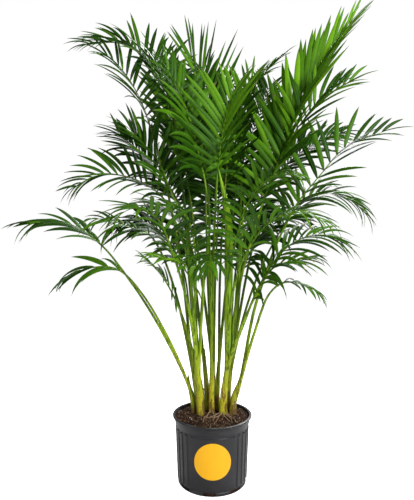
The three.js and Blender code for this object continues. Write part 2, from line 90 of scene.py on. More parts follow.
class Grower(Tree):
    # A geometry tree with named inputs.
    def __init__(self, name, sizes):
        super().__init__(bpy.data.node_groups.new(name, "GeometryNodeTree"))
        face = self.tree.interface
        face.new_socket("Geometry", in_out="INPUT", socket_type="NodeSocketGeometry")
        face.new_socket("Geometry", in_out="OUTPUT", socket_type="NodeSocketGeometry")
        kinds = {int: "NodeSocketInt", float: "NodeSocketFloat", tuple: "NodeSocketVector"}
        for label, value in sizes.items():
            socket = face.new_socket(label, in_out="INPUT", socket_type=kinds[type(value)])
            socket.default_value = value
        self.entry = self.tree.nodes.new("NodeGroupInput")
        self.exit = self.tree.nodes.new("NodeGroupOutput")

    def size(self, label):
        return self.entry.outputs[label]

    def ended(self, geometry, material, selection=True):
        feeds = {"Geometry": geometry, "Selection": selection, "Material": material}
        self.tree.links.new(self.out("GeometryNodeSetMaterial", feeds), self.exit.inputs[0])
        return self.tree

    def vec(self, operation, a, b=(0.0, 0.0, 0.0)):
        node = self.add("ShaderNodeVectorMath", {0: a, 1: b}, operation=operation)
        flat = operation in ("DOT_PRODUCT", "LENGTH", "DISTANCE")
        return node.outputs["Value" if flat else "Vector"]

    def scaled(self, a, amount):
        node = self.add("ShaderNodeVectorMath", {0: a, "Scale": amount}, operation="SCALE")
        return node.outputs["Vector"]

    def total(self, *vectors):
        result = vectors[0]
        for vector in vectors[1:]:
            result = self.vec("ADD", result, vector)
        return result

    def chance(self, low, high, seed):
        node = self.add("FunctionNodeRandomValue", {2: low, 3: high, "Seed": seed}, data_type="FLOAT")
        return node.outputs[1]

    def keep(self, geometry, label, value, vector=False, domain="POINT"):
        node = self.add("GeometryNodeStoreNamedAttribute", {"Geometry": geometry, "Name": label},
                        data_type="FLOAT_VECTOR" if vector else "FLOAT", domain=domain)
        socket = [item for item in node.inputs if item.name == "Value" and item.enabled][0]
        if isinstance(value, bpy.types.NodeSocket):
            self.tree.links.new(value, socket)
        else:
            socket.default_value = value
        return node.outputs["Geometry"]

    def read(self, label, vector=False):
        node = self.add("GeometryNodeInputNamedAttribute", {"Name": label},
                        data_type="FLOAT_VECTOR" if vector else "FLOAT")
        return [item for item in node.outputs if item.name == "Attribute" and item.enabled][0]


def lineMesh(name, chains):
    # Open lines as one mesh: each chain is its points, their widths and a mark for its colour.
    points, edges, widths, marks = [], [], [], []
    for line, lineWidths, mark in chains:
        start = len(points)
        points += [tuple(point) for point in line]
        edges += [(start + i, start + i + 1) for i in range(len(line) - 1)]
        widths += lineWidths
        marks += [mark] * len(line)
    mesh = bpy.data.meshes.new(name)
    mesh.from_pydata(points, edges, [])
    mesh.attributes.new("width", "FLOAT", "POINT").data.foreach_set("value", widths)
    mesh.attributes.new("mark", "FLOAT", "POINT").data.foreach_set("value", marks)
    return mesh


def grown(name, mesh, tree, values):
    # Runs a tree on a mesh and keeps the result as a plain mesh object at the origin.
    thing = newObject(name, mesh)
    modifier = thing.modifiers.new("grow", "NODES")
    modifier.node_group = tree
    for label, value in values.items():
        socket = [item for item in tree.interface.items_tree
                  if item.item_type == "SOCKET" and item.in_out == "INPUT" and item.name == label][0]
        modifier[socket.identifier] = value
    graph = bpy.context.evaluated_depsgraph_get()
    plain = bpy.data.meshes.new_from_object(thing.evaluated_get(graph), depsgraph=graph)
    thing.modifiers.remove(modifier)
    thing.data = plain
    plain.name = name
    return thing


def smoothPath(points, count):
    # Evenly spaced points on a centripetal curve through the given ones.
    spots = [Vector(point) for point in points]
    spots = [spots[0] * 2 - spots[1]] + spots + [spots[-1] * 2 - spots[-2]]
    fine = []
    for a, b, c, d in zip(spots, spots[1:], spots[2:], spots[3:]):
        t1 = max((b - a).length, 1e-6) ** 0.5
        t2 = t1 + max((c - b).length, 1e-6) ** 0.5
        t3 = t2 + max((d - c).length, 1e-6) ** 0.5
        for step in range(16):
            t = t1 + (t2 - t1) * step / 16
            ab = a.lerp(b, t / t1)
            bc = b.lerp(c, (t - t1) / (t2 - t1))
            cd = c.lerp(d, (t - t2) / (t3 - t2))
            abc = ab.lerp(bc, t / t2)
            bcd = bc.lerp(cd, (t - t1) / (t3 - t1))
            fine.append(abc.lerp(bcd, (t - t1) / (t2 - t1)))
    fine.append(spots[-2])
    reach = [0.0]
    for a, b in zip(fine, fine[1:]):
        reach.append(reach[-1] + (b - a).length)
    even = []
    at = 0
    for i in range(count):
        goal = reach[-1] * i / (count - 1)
        while at < len(fine) - 2 and reach[at + 1] < goal:
            at += 1
        share = (goal - reach[at]) / max(reach[at + 1] - reach[at], 1e-9)
        even.append(fine[at].lerp(fine[at + 1], min(share, 1.0)))
    return even, reach[-1]


def newMesh(name, vertices, faces):
    mesh = bpy.data.meshes.new(name)
    mesh.from_pydata(vertices, [], faces)
    return mesh


def newObject(name, data):
    thing = bpy.data.objects.new(name, data)
    scene.collection.objects.link(thing)
    return thing


def smooth(mesh, sharpest=40.0):
    # soft shading that keeps the edges sharper than the angle in degrees
    for polygon in mesh.polygons:
        polygon.use_smooth = True
    mesh.set_sharp_from_angle(angle=math.radians(sharpest))


def newMaterial(name, roughness, specular):
    # A material with its Principled shader, given the values that are the same all over.
    material = bpy.data.materials.new(name)
    material.use_nodes = True
    shader = material.node_tree.nodes["Principled BSDF"]
    shader.inputs["Roughness"].default_value = roughness
    shader.inputs["Specular IOR Level"].default_value = specular
    return material


class Painter(Tree):
    # A shader tree.
    def ramp(self, factor, stops):
        node = self.add("ShaderNodeValToRGB", {"Fac": factor})
        ramp = node.color_ramp
        while len(ramp.elements) < len(stops):
            ramp.elements.new(0.5)
        for element, (place, colour) in zip(ramp.elements, stops):
            element.position = place
            element.color = (*colour, 1.0)
        return node.outputs["Color"]

    def mix(self, factor, a, b):
        # either side may be a socket or a plain colour
        a, b = [(*side, 1.0) if isinstance(side, tuple) else side for side in (a, b)]
        return self.add("ShaderNodeMix", {0: factor, 6: a, 7: b}, data_type="RGBA").outputs[2]

    def noise(self, vector, scale, detail=3.0, rough=0.5):
        node = self.add("ShaderNodeTexNoise", {"Vector": vector, "Scale": scale, "Detail": detail,
                                               "Roughness": rough})
        return node.outputs["Fac"]

    def mark(self, label):
        return self.add("ShaderNodeAttribute", attribute_name=label).outputs["Fac"]

    def place(self, stretch=(1.0, 1.0, 1.0)):
        spot = self.add("ShaderNodeTexCoord").outputs["Object"]
        return self.add("ShaderNodeMapping", {"Vector": spot, "Scale": stretch}).outputs["Vector"]

    def height(self):
        spot = self.add("ShaderNodeTexCoord").outputs["Object"]
        return self.add("ShaderNodeSeparateXYZ", {0: spot}).outputs["Z"]

    def bump(self, value, strength, distance):
        node = self.add("ShaderNodeBump", {"Height": value, "Strength": strength, "Distance": distance})
        return node.outputs["Normal"]

    def shade(self, **links):
        shader = self.tree.nodes["Principled BSDF"]
        names = {"colour": "Base Color", "roughness": "Roughness", "normal": "Normal"}
        for key, socket in links.items():
            self.tree.links.new(socket, shader.inputs[names[key]])


def mottleGroup():
    # Blotches at one size and specks at another, for anything that grew or was moulded.
    tree = bpy.data.node_groups.new("mottle", "ShaderNodeTree")
    face = tree.interface
    for label, value in {"Blotch size": 12.0, "Speck size": 160.0, "Speck share": 0.4}.items():
        face.new_socket(label, in_out="INPUT", socket_type="NodeSocketFloat").default_value = value
    face.new_socket("Tone", in_out="OUTPUT", socket_type="NodeSocketFloat")
    entry = tree.nodes.new("NodeGroupInput")
    out = tree.nodes.new("NodeGroupOutput")
    paint = Painter(tree)
    spot = paint.add("ShaderNodeTexCoord").outputs["Object"]
    blotch = paint.noise(spot, entry.outputs["Blotch size"])
    speck = paint.noise(spot, entry.outputs["Speck size"], 2.0)
    tone = paint.out("ShaderNodeMix", {0: entry.outputs["Speck share"], 2: blotch, 3: speck})
    tree.links.new(tone, out.inputs["Tone"])
    return tree


mottle = mottleGroup()


def mottled(paint, blotch, speck, share):
    node = paint.add("ShaderNodeGroup", node_tree=mottle)
    for label, value in {"Blotch size": blotch, "Speck size": speck, "Speck share": share}.items():
        node.inputs[label].default_value = value
    return node.outputs["Tone"]


leafLook = {
    "oldest": (0.007, 0.030, 0.002), "dark": (0.020, 0.078, 0.003), "middle": (0.068, 0.198, 0.005),
    "bright": (0.165, 0.400, 0.008), "dry": (0.17, 0.15, 0.07), "roughness": 0.44,
}


def leafMaterial():
    look = leafLook
    material = newMaterial("palmLeaf", roughness=look["roughness"], specular=0.14)
    paint = Painter(material.node_tree)
    youth, tint = paint.mark("youth"), paint.mark("tint")
    blade, side = paint.mark("blade"), paint.mark("side")
    tone = mottled(paint, 9.0, 70.0, 0.35)
    shade = paint.plus(youth, paint.spread(tint, 0.0, 1.0, -0.26, 0.24))
    shade = paint.plus(shade, paint.spread(tone, 0.3, 0.7, -0.10, 0.10))
    shade = paint.plus(shade, paint.spread(blade, 0.0, 0.25, 0.10, 0.0), clamp=True)
    colour = paint.ramp(shade, [(0.0, look["oldest"]), (0.3, look["dark"]), (0.6, look["middle"]),
                                (1.0, look["bright"])])
    # fine veins run the length of each leaflet, with a paler rib down the middle
    vein = paint.sin(paint.times(side, 22.0))
    rib = paint.spread(paint.num("ABSOLUTE", side), 0.0, 0.14, 1.0, 0.0)
    colour = paint.mix(paint.times(rib, 0.35), colour, look["bright"])
    tip = paint.spread(paint.plus(blade, paint.spread(tint, 0.0, 1.0, -0.06, 0.06)), 0.93, 1.0)
    colour = paint.mix(paint.times(tip, 0.8), colour, look["dry"])
    rough = paint.spread(tone, 0.2, 0.8, look["roughness"] - 0.06, look["roughness"] + 0.10)
    paint.shade(colour=colour, roughness=rough, normal=paint.bump(vein, 0.25, 0.0002))
    return material


stalkLook = {
    "foot": (0.50, 0.47, 0.020), "low": (0.25, 0.40, 0.008), "high": (0.110, 0.27, 0.006),
    "tip": (0.17, 0.33, 0.010), "shaded": (0.014, 0.052, 0.003), "scar": (0.16, 0.075, 0.025),
    "roughness": 0.40, "toneAndBackShade": 0.85, "streaks": 0.30,
}

# the rolled new leaves are the brightest green on the plant
spearLook = {
    **stalkLook, "foot": (0.20, 0.40, 0.010), "low": (0.22, 0.43, 0.010), "high": (0.24, 0.46, 0.012),
    "tip": (0.20, 0.42, 0.010), "toneAndBackShade": 0.0,
}


def stalkMaterial(name, look):
    material = newMaterial(name, roughness=look["roughness"], specular=0.18)
    paint = Painter(material.node_tree)
    tone = mottled(paint, 14.0, 190.0, 0.4)
    level = paint.plus(paint.height(), paint.spread(tone, 0.3, 0.7, -0.05, 0.05))
    colour = paint.ramp(paint.spread(level, 0.2, 1.1),
                        [(0.0, look["foot"]), (0.25, look["low"]), (0.55, look["high"]), (1.0, look["tip"])])
    # the tint darkens each stalk towards the shaded colour: partly a random tone per frond, partly painted
    # shade on the fronds that stand behind
    green = paint.times(paint.mark("tint"), look["toneAndBackShade"])
    colour = paint.mix(green, colour, look["shaded"])
    streak = paint.noise(paint.place((90.0, 90.0, 4.0)), 1.0, 4.0)
    streaked = paint.spread(streak, 0.45, 0.75, 0.0, look["streaks"])
    colour = paint.mix(streaked, colour, (0.55, 0.60, 0.04))
    # grooves along the stalk: bumped, and painted darker with the shaded colour as painted shade in the
    # creases
    furrow = paint.noise(paint.place((160.0, 160.0, 3.0)), 1.0, 3.0)
    colour = paint.mix(paint.spread(furrow, 0.48, 0.64, 0.0, 0.75), colour, look["shaded"])
    paint.shade(colour=colour, normal=paint.bump(furrow, 0.35, 0.0008))
    return material


leafGreen = leafMaterial()
stalkGreen = stalkMaterial("palmStalk", stalkLook)
spearGreen = stalkMaterial("palmSpear", spearLook)
print("plant materials ready")

# what every frond has unless its own entry says otherwise; lengths in millimetres, angles in degrees
frondLook = {
    "length": 190, "roll": 0, "lift": 20, "sag": 0.4, "youth": 0.35, "fusing": 0.0,
    "kneeAngle": 62.0, "tipAngle": 30.0, "leafletWidth": 6.2, "leafletFold": 0.5, "leafletThick": 0.22,
    "footShare": 0.45, "footExtra": 1.4, "kneeRadius": 2.7, "tipRadius": 0.7, "spacing": 18.0,
    "leafletShare": 0.95, "sagTurn": 2.2, "inside": (0.2, 0.69), "lean": 3, "points": 96,
}


def frondTree():
    g = Grower("frond", {
        "Knee": 0.5, "Pairs": 20, "Length": 0.2, "Roll": 0.0, "Lift": 0.3, "Sag": 0.4,
        "Across": (1.0, 0.0, 0.0), "Knee angle": 1.0, "Tip angle": 0.3,
        "Leaflet width": 0.008, "Fold": 0.5, "Thickness": 0.0003,
        "Fusing": 0.0, "Foot radius": 0.005, "Knee radius": 0.003, "Tip radius": 0.001,
        "Youth": 0.5, "Tint": 0.5, "Seed": 1,
    })
    curve = g.out("GeometryNodeMeshToCurve", {0: g.size("Geometry")})

    # the stalk and midrib: one tapering tube
    part = g.add("GeometryNodeSplineParameter").outputs["Factor"]
    toKnee = g.spread(part, 0.0, g.size("Knee"), g.size("Foot radius"), g.size("Knee radius"))
    thinning = g.minus(g.size("Knee radius"), g.size("Tip radius"))
    radius = g.minus(toKnee, g.spread(part, g.size("Knee"), 1.0, 0.0, thinning))
    ring = g.out("GeometryNodeCurvePrimitiveCircle", {"Resolution": 8, "Radius": 1.0})
    stalk = g.out("GeometryNodeCurveToMesh", {"Curve": curve, "Profile Curve": ring, "Scale": radius,
                                              "Fill Caps": True})
    stalk = g.keep(stalk, "isBlade", 0.0)
    stalk = g.keep(stalk, "tint", g.size("Tint"))

    # where the leaflets sit: spaced along the midrib, one each side
    rib = g.out("GeometryNodeTrimCurve", {2: g.size("Knee"), 3: 0.995})
    g.tree.links.new(curve, rib.node.inputs["Curve"])
    spots = g.add("GeometryNodeCurveToPoints", {"Curve": rib, "Count": g.size("Pairs")}, mode="COUNT")
    points = g.keep(spots.outputs["Points"], "run", spots.outputs["Tangent"], vector=True)
    index = g.out("GeometryNodeInputIndex")
    along = g.num("DIVIDE", index, g.minus(g.size("Pairs"), 1.0))
    points = g.keep(points, "along", along)
    both = g.add("GeometryNodeDuplicateElements", {"Geometry": points, "Amount": 2}, domain="POINT")
    side = g.minus(g.times(both.outputs["Duplicate Index"], 2.0), 1.0)
    points = g.keep(both.outputs["Geometry"], "hand", side)

    # the directions of each leaflet, from the midrib's own
    run, hand, along = g.read("run", True), g.read("hand"), g.read("along")
    across = g.vec("SUBTRACT", g.size("Across"), g.scaled(run, g.vec("DOT_PRODUCT", g.size("Across"), run)))
    across = g.vec("NORMALIZE", across)
    up = g.vec("CROSS_PRODUCT", across, run)
    cosRoll, sinRoll = g.cos(g.size("Roll")), g.sin(g.size("Roll"))
    wing = g.total(g.scaled(across, cosRoll), g.scaled(up, sinRoll))
    roof = g.vec("SUBTRACT", g.scaled(up, cosRoll), g.scaled(across, sinRoll))
    seed = g.size("Seed")
    raised = g.plus(g.size("Lift"), g.chance(-0.16, 0.16, seed))
    out = g.total(g.scaled(wing, g.times(hand, g.cos(raised))),
                  g.scaled(roof, g.sin(raised)))
    opened = g.spread(along, 0.0, 1.0, g.size("Knee angle"), g.size("Tip angle"))
    opened = g.plus(opened, g.chance(-0.10, 0.10, g.plus(seed, 7.0)))
    head = g.vec("NORMALIZE", g.total(g.scaled(run, g.cos(opened)),
                                      g.scaled(out, g.sin(opened))))
    breadth = g.vec("NORMALIZE", g.vec("SUBTRACT", run, g.scaled(head, g.vec("DOT_PRODUCT", head, run))))
    flat = g.scaled(g.vec("CROSS_PRODUCT", head, breadth), hand)
    twist = g.chance(-0.35, 0.35, g.plus(seed, 13.0))
    cosTwist, sinTwist = g.cos(twist), g.sin(twist)
    turnedBreadth = g.total(g.scaled(breadth, cosTwist), g.scaled(flat, sinTwist))
    turnedFlat = g.vec("SUBTRACT", g.scaled(flat, cosTwist), g.scaled(breadth, sinTwist))
    down = (0.0, 0.0, -1.0)
    fall = g.vec("SUBTRACT", down, g.scaled(head, g.vec("DOT_PRODUCT", head, down)))
    level = g.vec("LENGTH", fall)
    bend = g.times(g.size("Sag"), g.plus(0.25, g.times(level, 0.75)))
    bend = g.num("MAXIMUM", g.times(bend, g.chance(0.5, 1.6, g.plus(seed, 21.0))), 0.02)
    # short near the knee, longest before the middle, short again at the tip
    ripening = g.num("MINIMUM", g.plus(g.times(along, 0.8), 0.22), 1.0)
    swell = g.sin(g.times(ripening, math.pi))
    reach = g.times(g.size("Length"), g.plus(0.48, g.times(swell, 0.52)))
    reach = g.times(reach, g.chance(0.86, 1.08, g.plus(seed, 29.0)))
    fused = g.times(g.size("Fusing"), g.times(swell, swell))
    wide = g.times(g.size("Leaflet width"), g.plus(0.6, g.times(swell, 0.4)))
    wide = g.times(wide, g.plus(1.0, fused))
    spot = g.out("GeometryNodeInputPosition")
    for label, value in {"root": spot, "head": head, "breadth": turnedBreadth, "flat": turnedFlat,
                         "fall": g.vec("NORMALIZE", fall)}.items():
        points = g.keep(points, label, value, vector=True)
    for label, value in {"bend": bend, "reach": reach, "wide": wide,
                         "tint": g.chance(0.0, 1.0, g.plus(seed, 37.0))}.items():
        points = g.keep(points, label, value)

    # one leaflet is a slim four-sided closed body, marked along and across before it is copied
    body = g.add("GeometryNodeMeshCylinder", {"Vertices": 4, "Side Segments": 9, "Radius": 1.0, "Depth": 1.0})
    place = g.add("ShaderNodeSeparateXYZ", {0: g.out("GeometryNodeInputPosition")})
    shape = g.keep(body.outputs["Mesh"], "blade", g.plus(place.outputs["Z"], 0.5))
    shape = g.keep(shape, "side", place.outputs["X"])
    shape = g.keep(shape, "skin", place.outputs["Y"])
    copies = g.out("GeometryNodeInstanceOnPoints", {"Points": points, "Instance": shape})
    blades = g.out("GeometryNodeRealizeInstances", {"Geometry": copies})

    # every point is then laid on its leaflet's own arc
    t, v, skin = g.read("blade"), g.read("side"), g.read("skin")
    bend, reach, wide, hand = g.read("bend"), g.read("reach"), g.read("wide"), g.read("hand")
    turn = g.times(bend, t)
    radius = g.num("DIVIDE", reach, bend)
    ahead = g.scaled(g.read("head", True), g.times(radius, g.sin(turn)))
    below = g.scaled(g.read("fall", True), g.times(radius, g.minus(1.0, g.cos(turn))))
    profile = g.add("ShaderNodeFloatCurve", {"Value": t})
    line = profile.mapping.curves[0]
    for x, y in ((0.07, 0.5), (0.2, 0.9), (0.4, 1.0), (0.65, 0.9), (0.87, 0.48)):
        line.points.new(x, y)
    line.points[0].location = (0.0, 0.22)
    line.points[-1].location = (1.0, 0.03)
    profile.mapping.update()
    half = g.times(wide, profile.outputs[0])
    sideways = g.scaled(g.read("breadth", True), g.times(v, half, hand))
    ridge = g.times(g.minus(1.0, g.num("ABSOLUTE", v)), g.times(half, g.size("Fold")))
    ridge = g.plus(ridge, g.times(skin, g.size("Thickness")))
    lifted = g.scaled(g.read("flat", True), ridge)
    blades = g.out("GeometryNodeSetPosition", {"Geometry": blades, "Position": g.total(
        g.read("root", True), ahead, below, sideways, lifted)})
    blades = g.keep(blades, "isBlade", 1.0)
    blades = g.keep(blades, "youth", g.size("Youth"))
    for label in ("root", "head", "breadth", "flat", "fall", "bend", "reach", "wide", "hand", "run", "skin"):
        blades = g.out("GeometryNodeRemoveAttribute", {"Geometry": blades, "Name": label})

    whole = g.add("GeometryNodeJoinGeometry")
    g.tree.links.new(stalk, whole.inputs[0])
    g.tree.links.new(blades, whole.inputs[0])
    whole = g.out("GeometryNodeRealizeInstances", {"Geometry": whole.outputs[0]})
    soften = "GeometryNodeSetShadeSmooth"
    whole = g.out(soften, {"Geometry": whole, "Shade Smooth": True}, domain="FACE")
    margin = g.num("GREATER_THAN", g.num("ABSOLUTE", g.read("side")), 0.9)
    whole = g.out(soften, {"Geometry": whole, "Selection": margin, "Shade Smooth": False}, domain="EDGE")
    isBlade = g.num("GREATER_THAN", g.read("isBlade"), 0.5)
    whole = g.out("GeometryNodeSetMaterial", {"Geometry": whole, "Material": stalkGreen})
    return g.ended(whole, leafGreen, isBlade)


# lengths in metres; shares are of the cane's own length
caneLook = {
    "points": 131, "planted": 0.02, "sides": 20, "ringSpacing": 0.034, "ringHeight": 0.0007,
    "leanShare": 0.12, "leanHeight": 0.045, "straightShare": 0.7, "footSwell": 0.22, "swellAt": 0.08,
    "swellReach": 0.09, "closingShare": 0.6, "topWidth": 0.22,
}

# canes: foot on the soil, top and radii at both, in millimetres
canes = {
    1: {"foot": [-56, 14], "top": [-72, 0, 310], "radius": [8, 7]},
    2: {"foot": [-34, -4], "top": [-44, -32, 360], "radius": [11, 9]},
    3: {"foot": [-14, 36], "top": [-24, 36, 380], "radius": [9, 8]},
    4: {"foot": [-2, 8], "top": [-2, -12, 420], "radius": [8, 7]},
    5: {"foot": [14, 38], "top": [22, 34, 380], "radius": [9, 8]},
    6: {"foot": [32, 0], "top": [44, -30, 380], "radius": [11.5, 9]},
    7: {"foot": [62, 10], "top": [90, -4, 330], "radius": [11, 8]},
    8: {"foot": [48, 42], "top": [60, 56, 360], "radius": [9, 8]},
    9: {"foot": [-44, 42], "top": [-62, 58, 350], "radius": [9, 8]},
    10: {"foot": [2, 66], "top": [6, 92, 340], "radius": [10, 9]},
    11: {"foot": [38, 72], "top": [62, 108, 330], "radius": [9, 8]},
    12: {"foot": [-32, 74], "top": [-46, 112, 330], "radius": [9, 8]},
}

# the fronds behind are darker, with closer and broader leaflets
backLook = {"youth": 0.18, "spacing": 13, "leafletWidth": 8.0}

# fronds: the cane each leaves, what differs from the shared look, and the points of its bare stalk
# and of its feathered midrib, in millimetres
fronds = {
    "left_1": {"cane": 1, "length": 165, "roll": 20, "lift": 10, "spacing": 30,
        "leafletWidth": 11.0, "kneeAngle": 34, "tipAngle": 16,
        "stalk": [[-165, -10, 470], [-256, -15, 610]],
        "rib": [[-330, -20, 700], [-420, -20, 757], [-541, -20, 762]]},
    "left_2": {"cane": 1, "length": 155, "roll": 18, "lift": 10, "spacing": 30,
        "leafletWidth": 10.5, "kneeAngle": 34, "tipAngle": 20,
        "stalk": [[-130, -35, 430], [-205, -55, 562]],
        "rib": [[-262, -60, 622], [-310, -60, 634], [-365, -62, 625], [-406, -64, 607]]},
    "left_3": {"cane": 9, "length": 150, "roll": 20, "lift": 10, "sag": 0.5,
        "stalk": [[-110, 50, 540], [-160, 45, 680]],
        "rib": [[-195, 42, 730], [-245, 42, 748], [-310, 40, 774], [-370, 40, 776]]},
    "left_4": {"cane": 3, "length": 170, "roll": 40, "lift": 25, "sag": 0.3, "youth": 0.3,
        "stalk": [[-60, 20, 600], [-100, 10, 740]],
        "rib": [[-150, 0, 840], [-215, 0, 885], [-285, 0, 905], [-350, 0, 900], [-407, 0, 870]]},
    "left_5": {"cane": 2, "roll": 42, "lift": 30, "sag": 0.3, "stalk": [[-60, -30, 560], [-82, -40, 760]],
        "rib": [[-120, -40, 850], [-152, -40, 930], [-195, -40, 985], [-234, -40, 1025]]},
    "left_6": {"cane": 3, "roll": 35, "lift": 32, "sag": 0.35, "youth": 0.3,
        "stalk": [[-60, 48, 640], [-95, 55, 900]],
        "rib": [[-125, 60, 1120], [-190, 65, 1260], [-285, 65, 1325], [-383, 59, 1320]]},
    "left_7": {"cane": 9, "roll": 40, "lift": 30, "youth": 0.3, "stalk": [[-95, 40, 640], [-140, 25, 880]],
        "rib": [[-185, 20, 1050], [-232, 20, 1165], [-280, 20, 1235], [-317, 16, 1265]]},
    "left_8": {"cane": 2, "length": 105, "roll": 15, "lift": 15, "youth": 0.45, "stalk": [[-72, -56, 450]],
        "rib": [[-104, -90, 545], [-140, -110, 612], [-180, -120, 655]]},
    "top_1": {"cane": 4, "length": 290, "roll": 85, "lift": 12, "sag": 0.1, "youth": 0.48,
        "kneeAngle": 34, "tipAngle": 14, "spacing": 22, "leafletWidth": 6.0, "stalk": [[-14, 30, 620]],
        "rib": [[-20, 80, 900], [-25, 95, 1090], [-45, 100, 1230], [-66, 100, 1298]]},
    "top_2": {"cane": 10, "length": 180, "roll": 60, "lift": 30, "sag": 0.2,
        "youth": 0.5, "fusing": 1.0, "kneeAngle": 40, "stalk": [[-40, 110, 640]],
        "rib": [[-90, 125, 960], [-136, 130, 1150], [-183, 130, 1322]]},
    "top_3": {"cane": 5, "length": 180, "roll": 55, "lift": 25, "sag": 0.2, "youth": 0.5,
        "stalk": [[24, 25, 600]], "rib": [[40, 20, 880], [60, 20, 1030], [95, 15, 1150], [122, 12, 1201]]},
    "top_4": {"cane": 8, "length": 150, "roll": 20, "sag": 0.3, "youth": 0.45, "stalk": [[80, 70, 600]],
        "rib": [[93, 80, 870], [98, 80, 1080], [125, 80, 1185], [168, 80, 1240], [214, 80, 1285]]},
    "right_1": {"cane": 6, "length": 195, "roll": 40, "lift": 34, "sag": 0.2,
        "youth": 0.5, "leafletWidth": 7.4, "spacing": 20, "stalk": [[80, -25, 580]],
        "rib": [[148, -20, 820], [212, -20, 975], [258, -20, 1050], [320, -20, 1125], [404, -20, 1173]]},
    "right_2": {"cane": 8, "length": 235, "roll": 42, "lift": 30, "sag": 0.12,
        "youth": 0.72, "fusing": 0.6, "kneeAngle": 34, "tipAngle": 14, "stalk": [[110, 50, 620]],
        "rib": [[176, 45, 890], [242, 42, 1080], [331, 40, 1245], [424, 40, 1376]]},
    "right_3": {"cane": 7, "length": 175, "roll": 42, "lift": 30, "sag": 0.2,
        "youth": 0.3, "spacing": 27, "leafletWidth": 7.6, "kneeAngle": 66,
        "stalk": [[118, -45, 500], [144, -55, 590], [175, -60, 681]],
        "rib": [[215, -60, 766], [240, -60, 812], [303, -60, 890], [377, -60, 972], [485, -60, 1017]]},
    "right_4": {"cane": 8, "roll": 25, "sag": 0.45, "stalk": [[120, 64, 540]],
        "rib": [[196, 60, 712], [273, 60, 820], [350, 60, 856], [440, 60, 830], [470, 60, 800]]},
    "right_5": {"cane": 6, "length": 180, "roll": 25, "lift": 15, "sag": 0.45, "youth": 0.3,
        "stalk": [[88, -60, 470]],
        "rib": [[140, -90, 600], [213, -100, 695], [295, -100, 724], [347, -100, 706]]},
    "right_6": {"cane": 7, "length": 120, "lift": 10, "youth": 0.45,
        "stalk": [[118, -56, 440], [160, -80, 560]],
        "rib": [[200, -80, 590], [256, -80, 584], [289, -80, 568]]},
    "right_7": {"cane": 6, "length": 150, "roll": 15, "lift": 15, "sag": 0.45, "youth": 0.45,
        "stalk": [[70, -84, 440]], "rib": [[112, -120, 548], [165, -130, 634], [259, -140, 658]]},
    "front_1": {"cane": 2, "length": 160, "roll": 10, "lift": 10,
        "sag": 0.45, "youth": 0.4, "leafletWidth": 6.0, "stalk": [[-50, -66, 500]],
        "rib": [[-48, -100, 680], [-75, -125, 775], [-157, -146, 807]]},
    "front_2": {"cane": 4, "length": 115, "lift": 10, "youth": 0.42, "leafletWidth": 7.5,
        "stalk": [[-4, -46, 540]], "rib": [[-4, -90, 650], [-6, -150, 668], [-8, -205, 640]]},
    "front_3": {"cane": 2, "length": 120, "roll": 10, "youth": 0.85, "stalk": [[-55, -90, 480]],
        "rib": [[-48, -130, 576], [-86, -150, 640], [-156, -160, 666]]},
    "front_4": {"cane": 2, "roll": 60, "sag": 0.35, "youth": 0.4, "leafletWidth": 8.0,
        "stalk": [[-24, -50, 600], [-8, -60, 760]],
        "rib": [[-22, -64, 880], [-48, -72, 985], [-78, -85, 1090], [-123, -101, 1175]]},
    "front_5": {"cane": 6, "length": 140, "youth": 0.45, "leafletWidth": 5.6, "stalk": [[40, -60, 540]],
        "rib": [[62, -105, 700], [100, -165, 820], [160, -230, 870], [195, -258, 860]]},
    "front_6": {"cane": 4, "length": 195, "roll": 66, "lift": 30, "sag": 0.15,
        "youth": 0.58, "spacing": 15, "leafletWidth": 6.4, "kneeAngle": 52,
        "stalk": [[2, -50, 600], [7, -84, 780]],
        "rib": [[15, -90, 905], [24, -94, 980], [40, -96, 1060], [60, -97, 1122]]},
    "front_7": {"cane": 2, "length": 150, "youth": 0.45, "leafletWidth": 5.8, "stalk": [[-62, -100, 500]],
        "rib": [[-100, -170, 660], [-140, -215, 760], [-190, -265, 780], [-226, -287, 759]]},
    "front_8": {"cane": 6, "length": 150, "youth": 0.45, "leafletWidth": 5.8, "stalk": [[46, -100, 500]],
        "rib": [[75, -165, 650], [140, -220, 750], [210, -265, 770], [252, -286, 749]]},
    "back_1": {**backLook, "cane": 10, "length": 200, "roll": 75, "sag": 0.25, "stalk": [[2, 110, 620]],
        "rib": [[12, 150, 850], [0, 160, 1080], [-20, 165, 1240], [-28, 167, 1282]]},
    "back_2": {**backLook, "cane": 5, "length": 200, "roll": 60, "sag": 0.25, "stalk": [[50, 90, 620]],
        "rib": [[77, 140, 850], [125, 150, 1045], [165, 155, 1145], [189, 158, 1219]]},
    "back_3": {**backLook, "cane": 11, "length": 200, "roll": 35, "lift": 25, "sag": 0.35,
        "stalk": [[95, 128, 600]],
        "rib": [[130, 160, 780], [231, 180, 950], [367, 190, 1053], [443, 196, 1082]]},
    "back_4": {**backLook, "cane": 12, "length": 200, "roll": 35, "lift": 25, "sag": 0.35,
        "stalk": [[-75, 118, 600]], "rib": [[-90, 130, 790], [-190, 150, 960], [-314, 160, 1074]]},
    "back_5": {**backLook, "cane": 12, "roll": 20, "lift": 15, "stalk": [[-72, 128, 480]],
        "rib": [[-95, 130, 620], [-165, 145, 740], [-250, 150, 780], [-305, 150, 759]]},
    "back_6": {**backLook, "cane": 11, "roll": 20, "lift": 15, "stalk": [[84, 122, 480]],
        "rib": [[105, 140, 620], [170, 150, 740], [260, 150, 790], [314, 150, 770]]},
    "back_7": {**backLook, "cane": 10, "length": 200, "stalk": [[10, 130, 540]],
        "rib": [[20, 180, 760], [30, 260, 940], [40, 350, 1010], [43, 387, 1002]]},
    "back_8": {**backLook, "cane": 12, "stalk": [[-52, 140, 480]],
        "rib": [[-60, 180, 660], [-120, 260, 800], [-190, 340, 830], [-223, 373, 807]]},
    "back_9": {**backLook, "cane": 11, "stalk": [[66, 140, 480]],
        "rib": [[90, 190, 660], [140, 270, 800], [200, 350, 830], [229, 390, 806]]},
}


